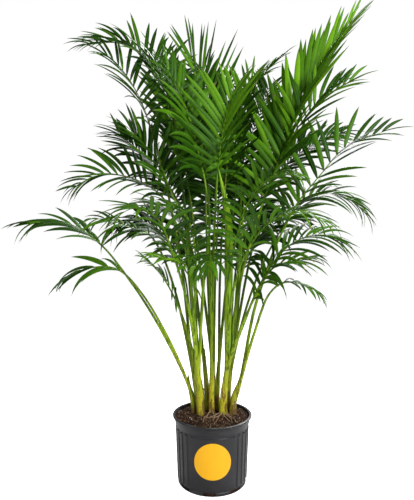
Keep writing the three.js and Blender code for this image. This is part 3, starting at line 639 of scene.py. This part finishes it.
potLook = {
    "height": 0.196, "baseRadius": 0.0995, "rimRadius": 0.117, "taper": 0.0078, "wall": 0.0024,
    "floor": 0.003, "bandHeight": 0.026, "bandStep": 0.003, "bandFlare": 0.0015, "lip": 0.0045,
    "footHeight": 0.009, "footStep": 0.0014, "segments": 320,
    "drainSlots": 8, "drainWidth": 0.036, "drainHeight": 0.009, "drainLift": 0.002, "drainTurn": 0.1,
    "drainFrom": 0.087, "drainTo": 0.109,
    "flutes": 32, "fluteDepth": 0.0026, "fluteBottom": 0.014, "fluteTop": 0.164, "panelHalfAngle": 32.0,
}


def wallRadius(height):
    return potLook["baseRadius"] + potLook["taper"] * height / potLook["height"]


# growing mix: heights of its flat foot, of the turns in its side and of its domed top, and its inset
soilForm = {
    "foot": 0.0034, "shoulder": 0.165, "step": 0.178, "edge": 0.189, "middle": 0.195, "inset": 0.0027,
}


def soilHeight(radius):
    edge = wallRadius(soilForm["edge"]) - soilForm["inset"]
    return soilForm["edge"] + (soilForm["middle"] - soilForm["edge"]) * (1 - (radius / edge) ** 2)


def caneLine(cane, planted=0.0):
    # upright out of the soil, then leaning out to its top
    look = caneLook
    foot, top = Vector((*cane["foot"], 0)) * mm, Vector(cane["top"]) * mm
    foot.z = soilHeight(foot.length)
    low = foot + (top - foot) * look["leanShare"]
    low.z = foot.z + look["leanHeight"]
    points = [foot, low, foot.lerp(top, look["straightShare"]), top]
    if planted:
        points.insert(0, foot - Vector((0, 0, planted)))
    return smoothPath(points, look["points"])[0]


def growFronds():
    tree = frondTree()
    faces = 0
    for number, (name, own) in enumerate(fronds.items()):
        it = {**frondLook, **own}
        cane = canes[it["cane"]]
        line = caneLine(cane)
        stalk = [Vector(point) * mm for point in it["stalk"]]
        rib = [Vector(point) * mm for point in it["rib"]]
        lean = stalk[0] - line[-1]
        lean.z = 0
        lean = lean.normalized() * it["lean"] * mm
        start = [line[round((len(line) - 1) * share)] + lean for share in it["inside"]]
        path, reach = smoothPath(start + stalk + rib, it["points"])
        bare = smoothPath(start + stalk + rib[:1], it["points"])[1]
        ahead = rib[-1] - rib[0]
        ahead.z = 0
        ahead.normalize()
        side = -1.0 if ahead.x > 0 else 1.0
        # fronds that stand behind get painted shade: their stalk tint is raised, which darkens the stalk
        # towards the shaded colour
        behind = 0.6 if stalk[0].y > 0.02 else 0.0
        values = {
            "Knee": bare / reach, "Pairs": max(5, round((reach - bare) / (it["spacing"] * mm))),
            "Length": it["length"] * it["leafletShare"] * mm, "Roll": math.radians(it["roll"]) * side,
            "Lift": math.radians(it["lift"]), "Sag": it["sag"] * it["sagTurn"],
            "Across": (ahead.y, -ahead.x, 0.0), "Knee angle": math.radians(it["kneeAngle"]),
            "Tip angle": math.radians(it["tipAngle"]), "Leaflet width": it["leafletWidth"] * mm,
            "Fold": it["leafletFold"], "Thickness": it["leafletThick"] * mm, "Fusing": it["fusing"],
            "Foot radius": (it["footShare"] * cane["radius"][0] + it["footExtra"]) * mm,
            "Knee radius": it["kneeRadius"] * mm, "Tip radius": it["tipRadius"] * mm,
            "Youth": it["youth"], "Tint": (number * 0.37) % 1.0 * 0.4 + behind, "Seed": 11 + number * 5,
        }
        chain = (path, [0.0] * len(path), 0.0)
        frond = grown("palmFrond_" + name, lineMesh(name, [chain]), tree, values)
        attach(frond, "root")
        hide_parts("frond_" + name)
        faces += len(frond.data.polygons)
    print("fronds grown:", len(fronds), "with", faces, "faces")


growFronds()

# how green each cane is
greenness = {
    1: 0.95, 2: 0.0, 3: 0.7, 4: 0.0, 5: 0.7, 6: 0.0, 7: 0.45, 8: 0.6, 9: 0.75, 10: 0.6, 11: 0.7, 12: 0.7,
}

# roots that run out over the soil: heading in degrees and reach in millimetres
surfaceRoots = {
    6: [(-150, 52), (-124, 78), (-104, 66), (-86, 86), (-66, 74), (-48, 60), (-20, 34)],
    4: [(-140, 44), (-112, 62), (-84, 58)],
}

rootLook = {"steps": 14, "points": 40, "radius": 0.0017, "taper": 0.65, "wander": 0.26, "hidden": 0.006}


def limbTree():
    g = Grower("limb", {"Sides": 20, "Ring spacing": 0.03, "Ring height": 0.001, "Tint": 0.5})
    curve = g.out("GeometryNodeMeshToCurve", {0: g.size("Geometry")})
    curve = g.keep(curve, "runs", g.add("GeometryNodeSplineParameter").outputs["Length"])
    ring = g.out("GeometryNodeCurvePrimitiveCircle", {"Resolution": g.size("Sides"), "Radius": 1.0})
    skin = g.out("GeometryNodeCurveToMesh", {"Curve": curve, "Profile Curve": ring, "Scale": g.read("width"),
                                             "Fill Caps": True})
    share = g.num("FRACT", g.num("DIVIDE", g.read("runs"), g.size("Ring spacing")))
    off = g.num("ABSOLUTE", g.minus(share, 0.5))
    bulge = g.spread(off, 0.0, 0.09, 1.0, 0.0, interpolation_type="SMOOTHSTEP")
    bulge = g.times(bulge, g.minus(1.0, g.read("mark")))
    skin = g.keep(skin, "scar", bulge)
    normal = g.out("GeometryNodeInputNormal")
    skin = g.out("GeometryNodeSetPosition", {"Geometry": skin, "Offset": g.scaled(
        normal, g.times(bulge, g.size("Ring height")))})
    skin = g.keep(skin, "tint", g.size("Tint"))
    skin = g.out("GeometryNodeSetShadeSmooth", {"Geometry": skin, "Shade Smooth": True}, domain="FACE")
    whole = g.out("GeometryNodeRealizeInstances", {"Geometry": skin})
    return g.ended(whole, caneSkin)


def caneMaterial():
    look = stalkLook
    material = newMaterial("caneSkin", roughness=0.42, specular=0.2)
    paint = Painter(material.node_tree)
    tone = mottled(paint, 18.0, 210.0, 0.4)
    level = paint.plus(paint.height(), paint.spread(tone, 0.3, 0.7, -0.04, 0.04))
    colour = paint.ramp(paint.spread(level, 0.19, 0.40), [(0.0, look["foot"]), (0.45, look["foot"]),
                                                          (1.0, look["low"])])
    green = paint.mix(paint.spread(level, 0.19, 0.36), (0.12, 0.22, 0.010), (0.045, 0.12, 0.006))
    colour = paint.mix(paint.mark("tint"), colour, green)
    streak = paint.noise(paint.place((70.0, 70.0, 5.0)), 1.0, 5.0)
    colour = paint.mix(paint.spread(streak, 0.35, 0.75, 0.0, 0.3), colour, (0.50, 0.50, 0.06))
    # papery brown patches where old leaf bases tore away, most of them low down
    patch = paint.noise(paint.place((62.0, 62.0, 17.0)), 1.0, 6.0, 0.62)
    reach = paint.spread(paint.height(), 0.19, 0.38, 0.47, 0.68)
    torn = paint.spread(paint.minus(patch, reach), 0.0, 0.05)
    colour = paint.mix(paint.times(torn, 0.9), colour, look["scar"])
    scar = paint.times(paint.mark("scar"), paint.spread(tone, 0.35, 0.6))
    colour = paint.mix(paint.times(scar, 0.6), colour, look["scar"])
    # a corky collar at the soil, and the bare roots
    uneven = paint.minus(paint.height(), paint.spread(tone, 0.35, 0.65, 0.0, 0.02))
    collar = paint.spread(uneven, 0.186, 0.200, 1.0, 0.0)
    colour = paint.mix(paint.times(collar, 0.75), colour, (0.13, 0.065, 0.025))
    bare = paint.ramp(tone, [(0.35, (0.20, 0.12, 0.065)), (0.65, (0.40, 0.27, 0.16))])
    colour = paint.mix(paint.mark("mark"), colour, bare)
    rough = paint.spread(tone, 0.2, 0.8, 0.34, 0.52)
    paint.shade(colour=colour, roughness=rough, normal=paint.bump(streak, 0.25, 0.0008))
    return material


caneSkin = caneMaterial()
limb = limbTree()


def rootChain(foot, heading, reach, seed):
    # A thin root: out from the cane, bending a little, half sunk in the soil.
    look = rootLook
    draw = random.Random(seed)
    points, widths = [], []
    turn = math.radians(heading)
    spot = Vector((foot.x, foot.y, 0.0))
    steps = look["steps"]
    for i in range(steps + 1):
        part = i / steps
        rise = 0.0016 + 0.010 * (1 - part) ** 6 + draw.uniform(-0.0006, 0.0010) - 0.003 * part ** 4
        points.append(Vector((spot.x, spot.y, soilHeight(spot.length) + rise)))
        widths.append(look["radius"] * (1 - look["taper"] * part))
        turn += draw.uniform(-look["wander"], look["wander"])
        spot += Vector((math.cos(turn), math.sin(turn), 0.0)) * (reach * mm + look["hidden"]) / steps
    count = look["points"]
    thin = [widths[round(i * steps / (count - 1))] for i in range(count)]
    return smoothPath(points, count)[0], thin, 1.0


def growCanes():
    look = caneLook
    for number, cane in canes.items():
        path = caneLine(cane, look["planted"])
        foot = Vector((*cane["foot"], 0)) * mm
        wide, slim = cane["radius"][0] * mm, cane["radius"][1] * mm
        widths = []
        for i in range(len(path)):
            part = i / (len(path) - 1)
            swell = 1.0 + look["footSwell"] * math.exp(-((part - look["swellAt"]) / look["swellReach"]) ** 2)
            close = min(1.0, (1.0 - part) / look["closingShare"]) ** 0.8
            closed = look["topWidth"] + (1 - look["topWidth"]) * close
            widths.append((wide * (1 - part) + slim * part) * swell * closed)
        chains = [(path, widths, 0.0)]
        for turn, (heading, length) in enumerate(surfaceRoots.get(number, [])):
            chains.append(rootChain(foot, heading, length, number * 20 + turn))
        name = "cane_%d" % number
        values = {
            "Sides": look["sides"], "Ring height": look["ringHeight"], "Tint": greenness[number],
            "Ring spacing": look["ringSpacing"] * (0.8 + 0.05 * number),
        }
        piece = grown("palmCane_%d" % number, lineMesh(name, chains), limb, values)
        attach(piece, "root")
        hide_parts(name)


growCanes()

# fronds still rolled shut: the cane each leaves, its radius and its points in millimetres
spears = {
    "spear_1": {"cane": 6, "radius": 10.5, "points": [[46, -62, 640], [42, -84, 780], [14, -96, 915]]},
    "spear_2": {"cane": 4, "radius": 3.2, "points": [[-8, -24, 640], [-10, -30, 880]]},
    "spear_3": {"cane": 8, "radius": 3.2, "points": [[84, 40, 620], [100, 30, 860]]},
}

spearForm = {
    "points": 80, "sides": 10, "below": 0.03, "narrow": 0.55, "swell": 0.6, "tip": 0.0003, "tint": 0.1,
}


def growSpears():
    look = spearForm
    for name, it in spears.items():
        top = Vector(canes[it["cane"]]["top"]) * mm
        points = [Vector(point) * mm for point in it["points"]]
        path = smoothPath([top - Vector((0, 0, look["below"]))] + points, look["points"])[0]
        widths = []
        for i in range(len(path)):
            part = i / (len(path) - 1)
            swell = look["narrow"] + look["swell"] * math.sin(math.pi * min(1.0, part * 0.9))
            widths.append(it["radius"] * mm * swell * (1 - part ** 6) + look["tip"])
        values = {"Sides": look["sides"], "Ring spacing": 1.0, "Ring height": 0.0, "Tint": look["tint"]}
        piece = grown("palmSpear_" + name[-1], lineMesh(name, [(path, widths, 0.0)]), limb, values)
        piece.data.materials.clear()
        piece.data.materials.append(spearGreen)
        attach(piece, "root")
        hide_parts(name)


growSpears()
print("canes and spears grown")


def potMaterial():
    material = newMaterial("nurseryPlastic", roughness=0.38, specular=0.3)
    paint = Painter(material.node_tree)
    tone = mottled(paint, 14.0, 240.0, 0.5)
    colour = paint.ramp(tone, [(0.3, (0.016, 0.016, 0.018)), (0.7, (0.026, 0.026, 0.029))])
    scuff = paint.noise(paint.place((18.0, 18.0, 140.0)), 1.0, 4.0)
    colour = paint.mix(paint.spread(scuff, 0.55, 0.8, 0.0, 0.35), colour, (0.05, 0.048, 0.046))
    rough = paint.spread(scuff, 0.3, 0.7, 0.30, 0.46)
    grain = paint.noise(paint.place(), 700.0, 2.0)
    paint.shade(colour=colour, roughness=rough, normal=paint.bump(grain, 0.15, 0.0002))
    return material


def spun(name, profile, segments):
    # A closed skin turned round the upright axis; the profile starts and ends on it.
    vertices, faces = [], []
    inner = profile[1:-1]
    for radius, height in inner:
        for step in range(segments):
            angle = 2 * math.pi * step / segments
            vertices.append((radius * math.cos(angle), radius * math.sin(angle), height))
    for row in range(len(inner) - 1):
        for step in range(segments):
            a, b = row * segments + step, row * segments + (step + 1) % segments
            faces.append((a, b, b + segments, a + segments))
    for end, row in ((profile[0], 0), (profile[-1], len(inner) - 1)):
        middle = len(vertices)
        vertices.append((0.0, 0.0, end[1]))
        for step in range(segments):
            a, b = row * segments + step, row * segments + (step + 1) % segments
            faces.append((b, a, middle) if row == 0 else (a, b, middle))
    return newMesh(name, vertices, faces)


def fluteTree():
    look = potLook
    g = Grower("flutes", {
        "Flutes": look["flutes"], "Depth": look["fluteDepth"], "Bottom": look["fluteBottom"],
        "Top": look["fluteTop"], "Panel": math.radians(look["panelHalfAngle"]),
    })
    position = g.out("GeometryNodeInputPosition")
    place = g.add("ShaderNodeSeparateXYZ", {0: position})
    angle = g.num("ARCTAN2", place.outputs["X"], g.times(place.outputs["Y"], -1.0))
    wave = g.cos(g.times(angle, g.size("Flutes")))
    stand = g.spread(wave, -0.35, 0.35, interpolation_type="SMOOTHSTEP")
    panel = g.num("LESS_THAN", g.num("ABSOLUTE", angle), g.size("Panel"))
    stand = g.num("MAXIMUM", stand, panel)
    above = g.num("GREATER_THAN", place.outputs["Z"], g.size("Bottom"))
    below = g.num("LESS_THAN", place.outputs["Z"], g.size("Top"))
    outside = g.num("GREATER_THAN", g.read("outer"), 0.5)
    mask = g.times(above, below, outside)
    flat = g.out("ShaderNodeCombineXYZ", {0: place.outputs["X"], 1: place.outputs["Y"], 2: 0.0})
    push = g.scaled(g.vec("NORMALIZE", flat), g.times(stand, mask, g.size("Depth")))
    whole = g.out("GeometryNodeSetPosition", {"Geometry": g.size("Geometry"), "Offset": push})
    whole = g.out("GeometryNodeRealizeInstances", {"Geometry": whole})
    return g.ended(whole, potPlastic)


def cutDrains(pot):
    # a ring of slots through the foot of the wall
    look = potLook
    near, far = look["drainFrom"], look["drainTo"]
    vertices, faces = [], []
    for slot in range(look["drainSlots"]):
        angle = 2 * math.pi * slot / look["drainSlots"] - math.pi / 2 - look["drainTurn"]
        out = Vector((math.cos(angle), math.sin(angle), 0.0))
        along = Vector((-out.y, out.x, 0.0)) * look["drainWidth"] / 2
        start = len(vertices)
        for height in (look["drainLift"], look["drainLift"] + look["drainHeight"]):
            for reach, side in ((near, -1), (far, -1), (far, 1), (near, 1)):
                vertices.append(tuple(out * reach + along * side + Vector((0.0, 0.0, height))))
        for face in ((3, 2, 1, 0), (4, 5, 6, 7), (0, 1, 5, 4), (1, 2, 6, 5), (2, 3, 7, 6), (3, 0, 4, 7)):
            faces.append(tuple(start + corner for corner in face))
    cutter = newObject("drainSlots", newMesh("drainSlots", vertices, faces))
    modifier = pot.modifiers.new("drain", "BOOLEAN")
    modifier.object = cutter
    modifier.solver = "EXACT"
    graph = bpy.context.evaluated_depsgraph_get()
    plain = bpy.data.meshes.new_from_object(pot.evaluated_get(graph), depsgraph=graph)
    pot.modifiers.remove(modifier)
    pot.data = plain
    bpy.data.objects.remove(cutter)


def makePot():
    look = potLook
    top, wall, floor, base = look["height"], look["wall"], look["floor"], look["baseRadius"]
    step, foot, segments = look["footStep"], look["footHeight"], look["segments"]
    lowest, highest, band = look["fluteBottom"], look["fluteTop"], top - look["bandHeight"]
    outer = [(0.0, 0.0), (base - 0.004, 0.0), (base - 0.0012, 0.0006), (base + step - 0.0005, 0.0028),
             (wallRadius(foot) + step, foot), (wallRadius(foot) + step - 0.0007, foot + 0.0012)]
    for height in (foot + 0.002, lowest, lowest + 0.002):
        outer.append((wallRadius(height), height))
    steps = 6
    fluted = range(len(outer) - 1, len(outer) + steps)
    for i in range(steps + 1):
        height = lowest + 0.003 + (highest - lowest - 0.006) * i / steps
        outer.append((wallRadius(height), height))
    flare, lip, rim = look["bandStep"], look["lip"], look["rimRadius"]
    wide = wallRadius(top) + flare + look["bandFlare"]
    outer += [(wallRadius(highest), highest), (wallRadius(band), band),
              (wallRadius(band) + flare * 0.8, band + 0.0010), (wallRadius(band) + flare, band + 0.0028),
              (wide, top - lip - 0.003), (rim - 0.0016, top - lip), (rim - 0.0002, top - lip + 0.0012),
              (rim, top - 0.0018), (rim - 0.0006, top - 0.0004), (rim - 0.0018, top)]
    inner = wide - wall
    inside = [(inner + 0.0010, top), (inner, top - 0.0012), (inner - 0.0006, top - lip - 0.004),
              (wallRadius(band) + flare - wall, band + 0.003), (wallRadius(band) - wall, band - 0.001),
              (wallRadius(floor) - wall, floor), (0.0, floor)]
    mesh = spun("pot", outer + inside, segments)
    flags = []
    for row in range(len(outer + inside) - 2):
        flags += [1.0 if row in fluted else 0.0] * segments
    mesh.attributes.new("outer", "FLOAT", "POINT").data.foreach_set("value", flags + [0.0, 0.0])
    pot = grown("nurseryPot", mesh, fluteTree(), {})
    cutDrains(pot)
    smooth(pot.data)
    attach(pot, "root")
    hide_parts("pot")


potPlastic = potMaterial()
makePot()

labelLook = {"radius": 0.0512, "height": 0.1005, "thickness": 0.0006, "lift": 0.0029, "drop": 0.45}


def labelMaterial():
    material = newMaterial("labelPaper", roughness=0.45, specular=0.2)
    paint = Painter(material.node_tree)
    tone = mottled(paint, 30.0, 300.0, 0.5)
    colour = paint.ramp(tone, [(0.3, (0.90, 0.44, 0.012)), (0.7, (0.95, 0.49, 0.018))])
    paint.shade(colour=colour, roughness=paint.spread(tone, 0.3, 0.7, 0.38, 0.48))
    return material


def makeLabel():
    look = labelLook
    rings, spokes = 8, 72
    vertices, faces = [], []
    for out in (look["lift"] + look["thickness"], look["lift"]):
        for ring in range(rings + 1):
            for spoke in range(spokes if ring else 1):
                angle = 2 * math.pi * spoke / spokes
                reach = look["radius"] * ring / rings
                height = look["height"] + reach * math.sin(angle)
                radius = wallRadius(height) + out
                turn = reach * math.cos(angle) / wallRadius(look["height"])
                # the stiff card bows over the curve
                height -= look["drop"] * radius * (1 - math.cos(turn))
                vertices.append((radius * math.sin(turn), -radius * math.cos(turn), height))
    count = 1 + rings * spokes
    for face in (0, 1):
        start = face * count
        for spoke in range(spokes):
            after = (spoke + 1) % spokes
            tri = (start, start + 1 + spoke, start + 1 + after)
            faces.append(tri if face == 0 else tri[::-1])
            for ring in range(1, rings):
                a, b = start + 1 + (ring - 1) * spokes, start + 1 + ring * spokes
                quad = (a + spoke, b + spoke, b + after, a + after)
                faces.append(quad if face == 0 else quad[::-1])
    edge = 1 + (rings - 1) * spokes
    for spoke in range(spokes):
        after = (spoke + 1) % spokes
        faces.append((edge + spoke, count + edge + spoke, count + edge + after, edge + after))
    label = newObject("roundLabel", newMesh("label", vertices, faces))
    label.data.materials.append(labelMaterial())
    smooth(label.data)
    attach(label, "root")
    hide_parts("pot_label")


makeLabel()
print("pot and label made")

# pieces strewn over the bed, and its area in square metres
soilLook = {
    "crumbs": 3400, "chips": 620, "perlite": 26, "crumbSize": 0.0030, "area": 0.0385, "segments": 120,
}


def soilMaterial():
    material = newMaterial("pottingSoil", roughness=0.95, specular=0.2)
    paint = Painter(material.node_tree)
    tone = mottled(paint, 60.0, 420.0, 0.5)
    shade = paint.plus(paint.mark("tint"), paint.spread(tone, 0.3, 0.7, -0.15, 0.15), clamp=True)
    colour = paint.ramp(shade, [(0.0, (0.012, 0.007, 0.005)), (0.45, (0.022, 0.011, 0.007)),
                                (0.75, (0.070, 0.036, 0.019)), (1.0, (0.34, 0.21, 0.12))])
    colour = paint.mix(paint.mark("white"), colour, (0.75, 0.72, 0.66))
    paint.shade(colour=colour, normal=paint.bump(tone, 0.6, 0.001))
    return material


def soilTree():
    look = soilLook
    g = Grower("soil", {"Crumbs": look["crumbs"], "Chips": look["chips"], "Perlite": look["perlite"],
                        "Crumb size": look["crumbSize"], "Roughness": 0.004, "Seed": 5})
    bed = g.size("Geometry")
    noise = g.add("ShaderNodeTexNoise", {"Scale": 90.0, "Detail": 4.0}).outputs["Fac"]
    rise = g.times(g.minus(noise, 0.5), g.size("Roughness"))
    rise = g.times(rise, g.read("top"))
    lift = g.out("ShaderNodeCombineXYZ", {2: rise})
    bed = g.out("GeometryNodeSetPosition", {"Geometry": bed, "Offset": lift})
    bed = g.keep(bed, "tint", g.add("ShaderNodeTexNoise", {"Scale": 140.0, "Detail": 3.0}).outputs["Fac"])
    up = g.num("GREATER_THAN", g.read("top"), 0.9)
    parts = [bed]
    kinds = (("Crumbs", 1, (0.9, 1.0, 0.7), 0.0, 0.9, 0.0), ("Chips", 2, (0.7, 2.4, 0.5), 0.4, 1.0, 0.0),
             ("Perlite", 3, (0.8, 0.8, 0.7), 0.5, 0.5, 1.0))
    for label, salt, stretch, low, high, white in kinds:
        seed = g.plus(g.size("Seed"), float(salt))
        spread = g.add("GeometryNodeDistributePointsOnFaces", {"Mesh": bed, "Selection": up, "Seed": seed},
                       distribute_method="RANDOM")
        wanted = g.num("DIVIDE", g.size(label), look["area"])
        g.tree.links.new(wanted, spread.inputs["Density"])
        points = g.keep(spread.outputs["Points"], "tint", g.chance(low, high, seed))
        points = g.keep(points, "white", white)
        ball = g.out("GeometryNodeMeshIcoSphere", {"Radius": 1.0, "Subdivisions": 1})
        turn = g.out("FunctionNodeRandomValue", {0: (0.0, 0.0, 0.0), 1: (6.28, 6.28, 6.28), "Seed": seed},
                     data_type="FLOAT_VECTOR")
        size = g.times(g.chance(0.35, 1.0, g.plus(seed, 9.0)), g.size("Crumb size"))
        scale = g.scaled(stretch, size)
        copies = g.out("GeometryNodeInstanceOnPoints", {"Points": points, "Instance": ball,
                                                        "Rotation": turn, "Scale": scale})
        parts.append(g.out("GeometryNodeRealizeInstances", {"Geometry": copies}))
    whole = g.add("GeometryNodeJoinGeometry")
    for part in parts:
        g.tree.links.new(part, whole.inputs[0])
    whole = g.out("GeometryNodeRealizeInstances", {"Geometry": whole.outputs[0]})
    return g.ended(whole, soilBrown)


def makeSoil():
    look = potLook
    segments, rings = soilLook["segments"], 40
    edge = wallRadius(soilForm["edge"]) + look["bandStep"] + look["bandFlare"] - look["wall"] - 0.001
    foot = wallRadius(look["floor"]) - 0.0030
    low, shoulder = soilForm["foot"], soilForm["shoulder"]
    profile = [(0.0, low), (foot, low), (wallRadius(shoulder) - 0.003, shoulder), (edge, soilForm["step"]),
               (edge, soilHeight(edge) - 0.0015)]
    for i in range(1, rings + 1):
        radius = edge * (rings - i) / rings
        profile.append((radius, soilHeight(radius) - 0.001))
    mesh = spun("soil", profile, segments)
    flags = [0.0] * (segments * 3) + [1.0] * (segments * rings) + [0.0, 1.0]
    mesh.attributes.new("top", "FLOAT", "POINT").data.foreach_set("value", flags)
    soil = grown("pottingSoil", mesh, soilTree(), {})
    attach(soil, "root")
    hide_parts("soil")


soilBrown = soilMaterial()
makeSoil()
print("soil laid")

stageLook = {"floorRadius": 7.0, "corners": 64, "sky": 0.12, "backdrop": 1.0, "floorGlow": 1.0}

# area lights: where each stands, what it looks at, its width in metres and its power in watts
lights = {
    "keyLight": {"place": (1.7, -2.3, 2.1), "target": (0.0, 0.0, 0.8), "size": 1.0, "power": 104.0},
    "fillLight": {"place": (-2.2, -1.8, 1.6), "target": (0.0, 0.0, 0.7), "size": 1.8, "power": 22.0},
    "backLight": {"place": (0.6, 1.9, 2.2), "target": (0.0, 0.0, 1.0), "size": 1.2, "power": 90.0},
}

cameraLook = {"place": (-0.0155, -1.324, 0.681), "lens": 32.04, "sensor": 36.0, "clipStart": 0.02}


def makeFloor():
    look = stageLook
    corners = []
    for i in range(look["corners"]):
        angle = 2 * math.pi * i / look["corners"]
        corners.append((look["floorRadius"] * math.cos(angle), look["floorRadius"] * math.sin(angle), 0.0))
    floor = newObject("studioFloor", newMesh("studioFloor", corners, [tuple(range(look["corners"]))]))
    material = newMaterial("paleFloor", roughness=0.9, specular=0.1)
    paint = Painter(material.node_tree)
    shader = material.node_tree.nodes["Principled BSDF"]
    shader.inputs["Base Color"].default_value = (0.9, 0.9, 0.9, 1.0)
    shader.inputs["Emission Color"].default_value = (1.0, 1.0, 1.0, 1.0)
    seen = paint.add("ShaderNodeLightPath").outputs["Is Camera Ray"]
    paint.tree.links.new(paint.times(seen, look["floorGlow"]), shader.inputs["Emission Strength"])
    floor.data.materials.append(material)


def makeSky():
    # seen directly the backdrop is plain white; the plant gets only a share of it as fill
    look = stageLook
    world = bpy.data.worlds.new("softSky")
    world.use_nodes = True
    paint = Painter(world.node_tree)
    seen = paint.add("ShaderNodeLightPath").outputs["Is Camera Ray"]
    strength = paint.spread(seen, 0.0, 1.0, look["sky"], look["backdrop"])
    background = world.node_tree.nodes["Background"]
    background.inputs["Color"].default_value = (1.0, 1.0, 1.0, 1.0)
    world.node_tree.links.new(strength, background.inputs["Strength"])
    scene.world = world


def makeLights():
    for name, it in lights.items():
        light = bpy.data.lights.new(name, "AREA")
        light.energy = it["power"]
        light.size = it["size"]
        lamp = newObject(name, light)
        lamp.location = it["place"]
        ahead = Vector(it["target"]) - Vector(it["place"])
        lamp.rotation_euler = ahead.to_track_quat("-Z", "Y").to_euler()
        lamp.visible_camera = False


def makeCamera():
    look = cameraLook
    camera = bpy.data.cameras.new("frontCamera")
    camera.lens = look["lens"]
    camera.sensor_width = look["sensor"]
    camera.sensor_fit = "AUTO"
    camera.clip_start = look["clipStart"]
    scene.camera = newObject("frontCamera", camera)
    scene.camera.location = look["place"]
    scene.camera.rotation_euler = (math.radians(90), 0.0, 0.0)


makeFloor()
makeSky()
makeLights()
makeCamera()
scene.view_settings.view_transform = "Standard"
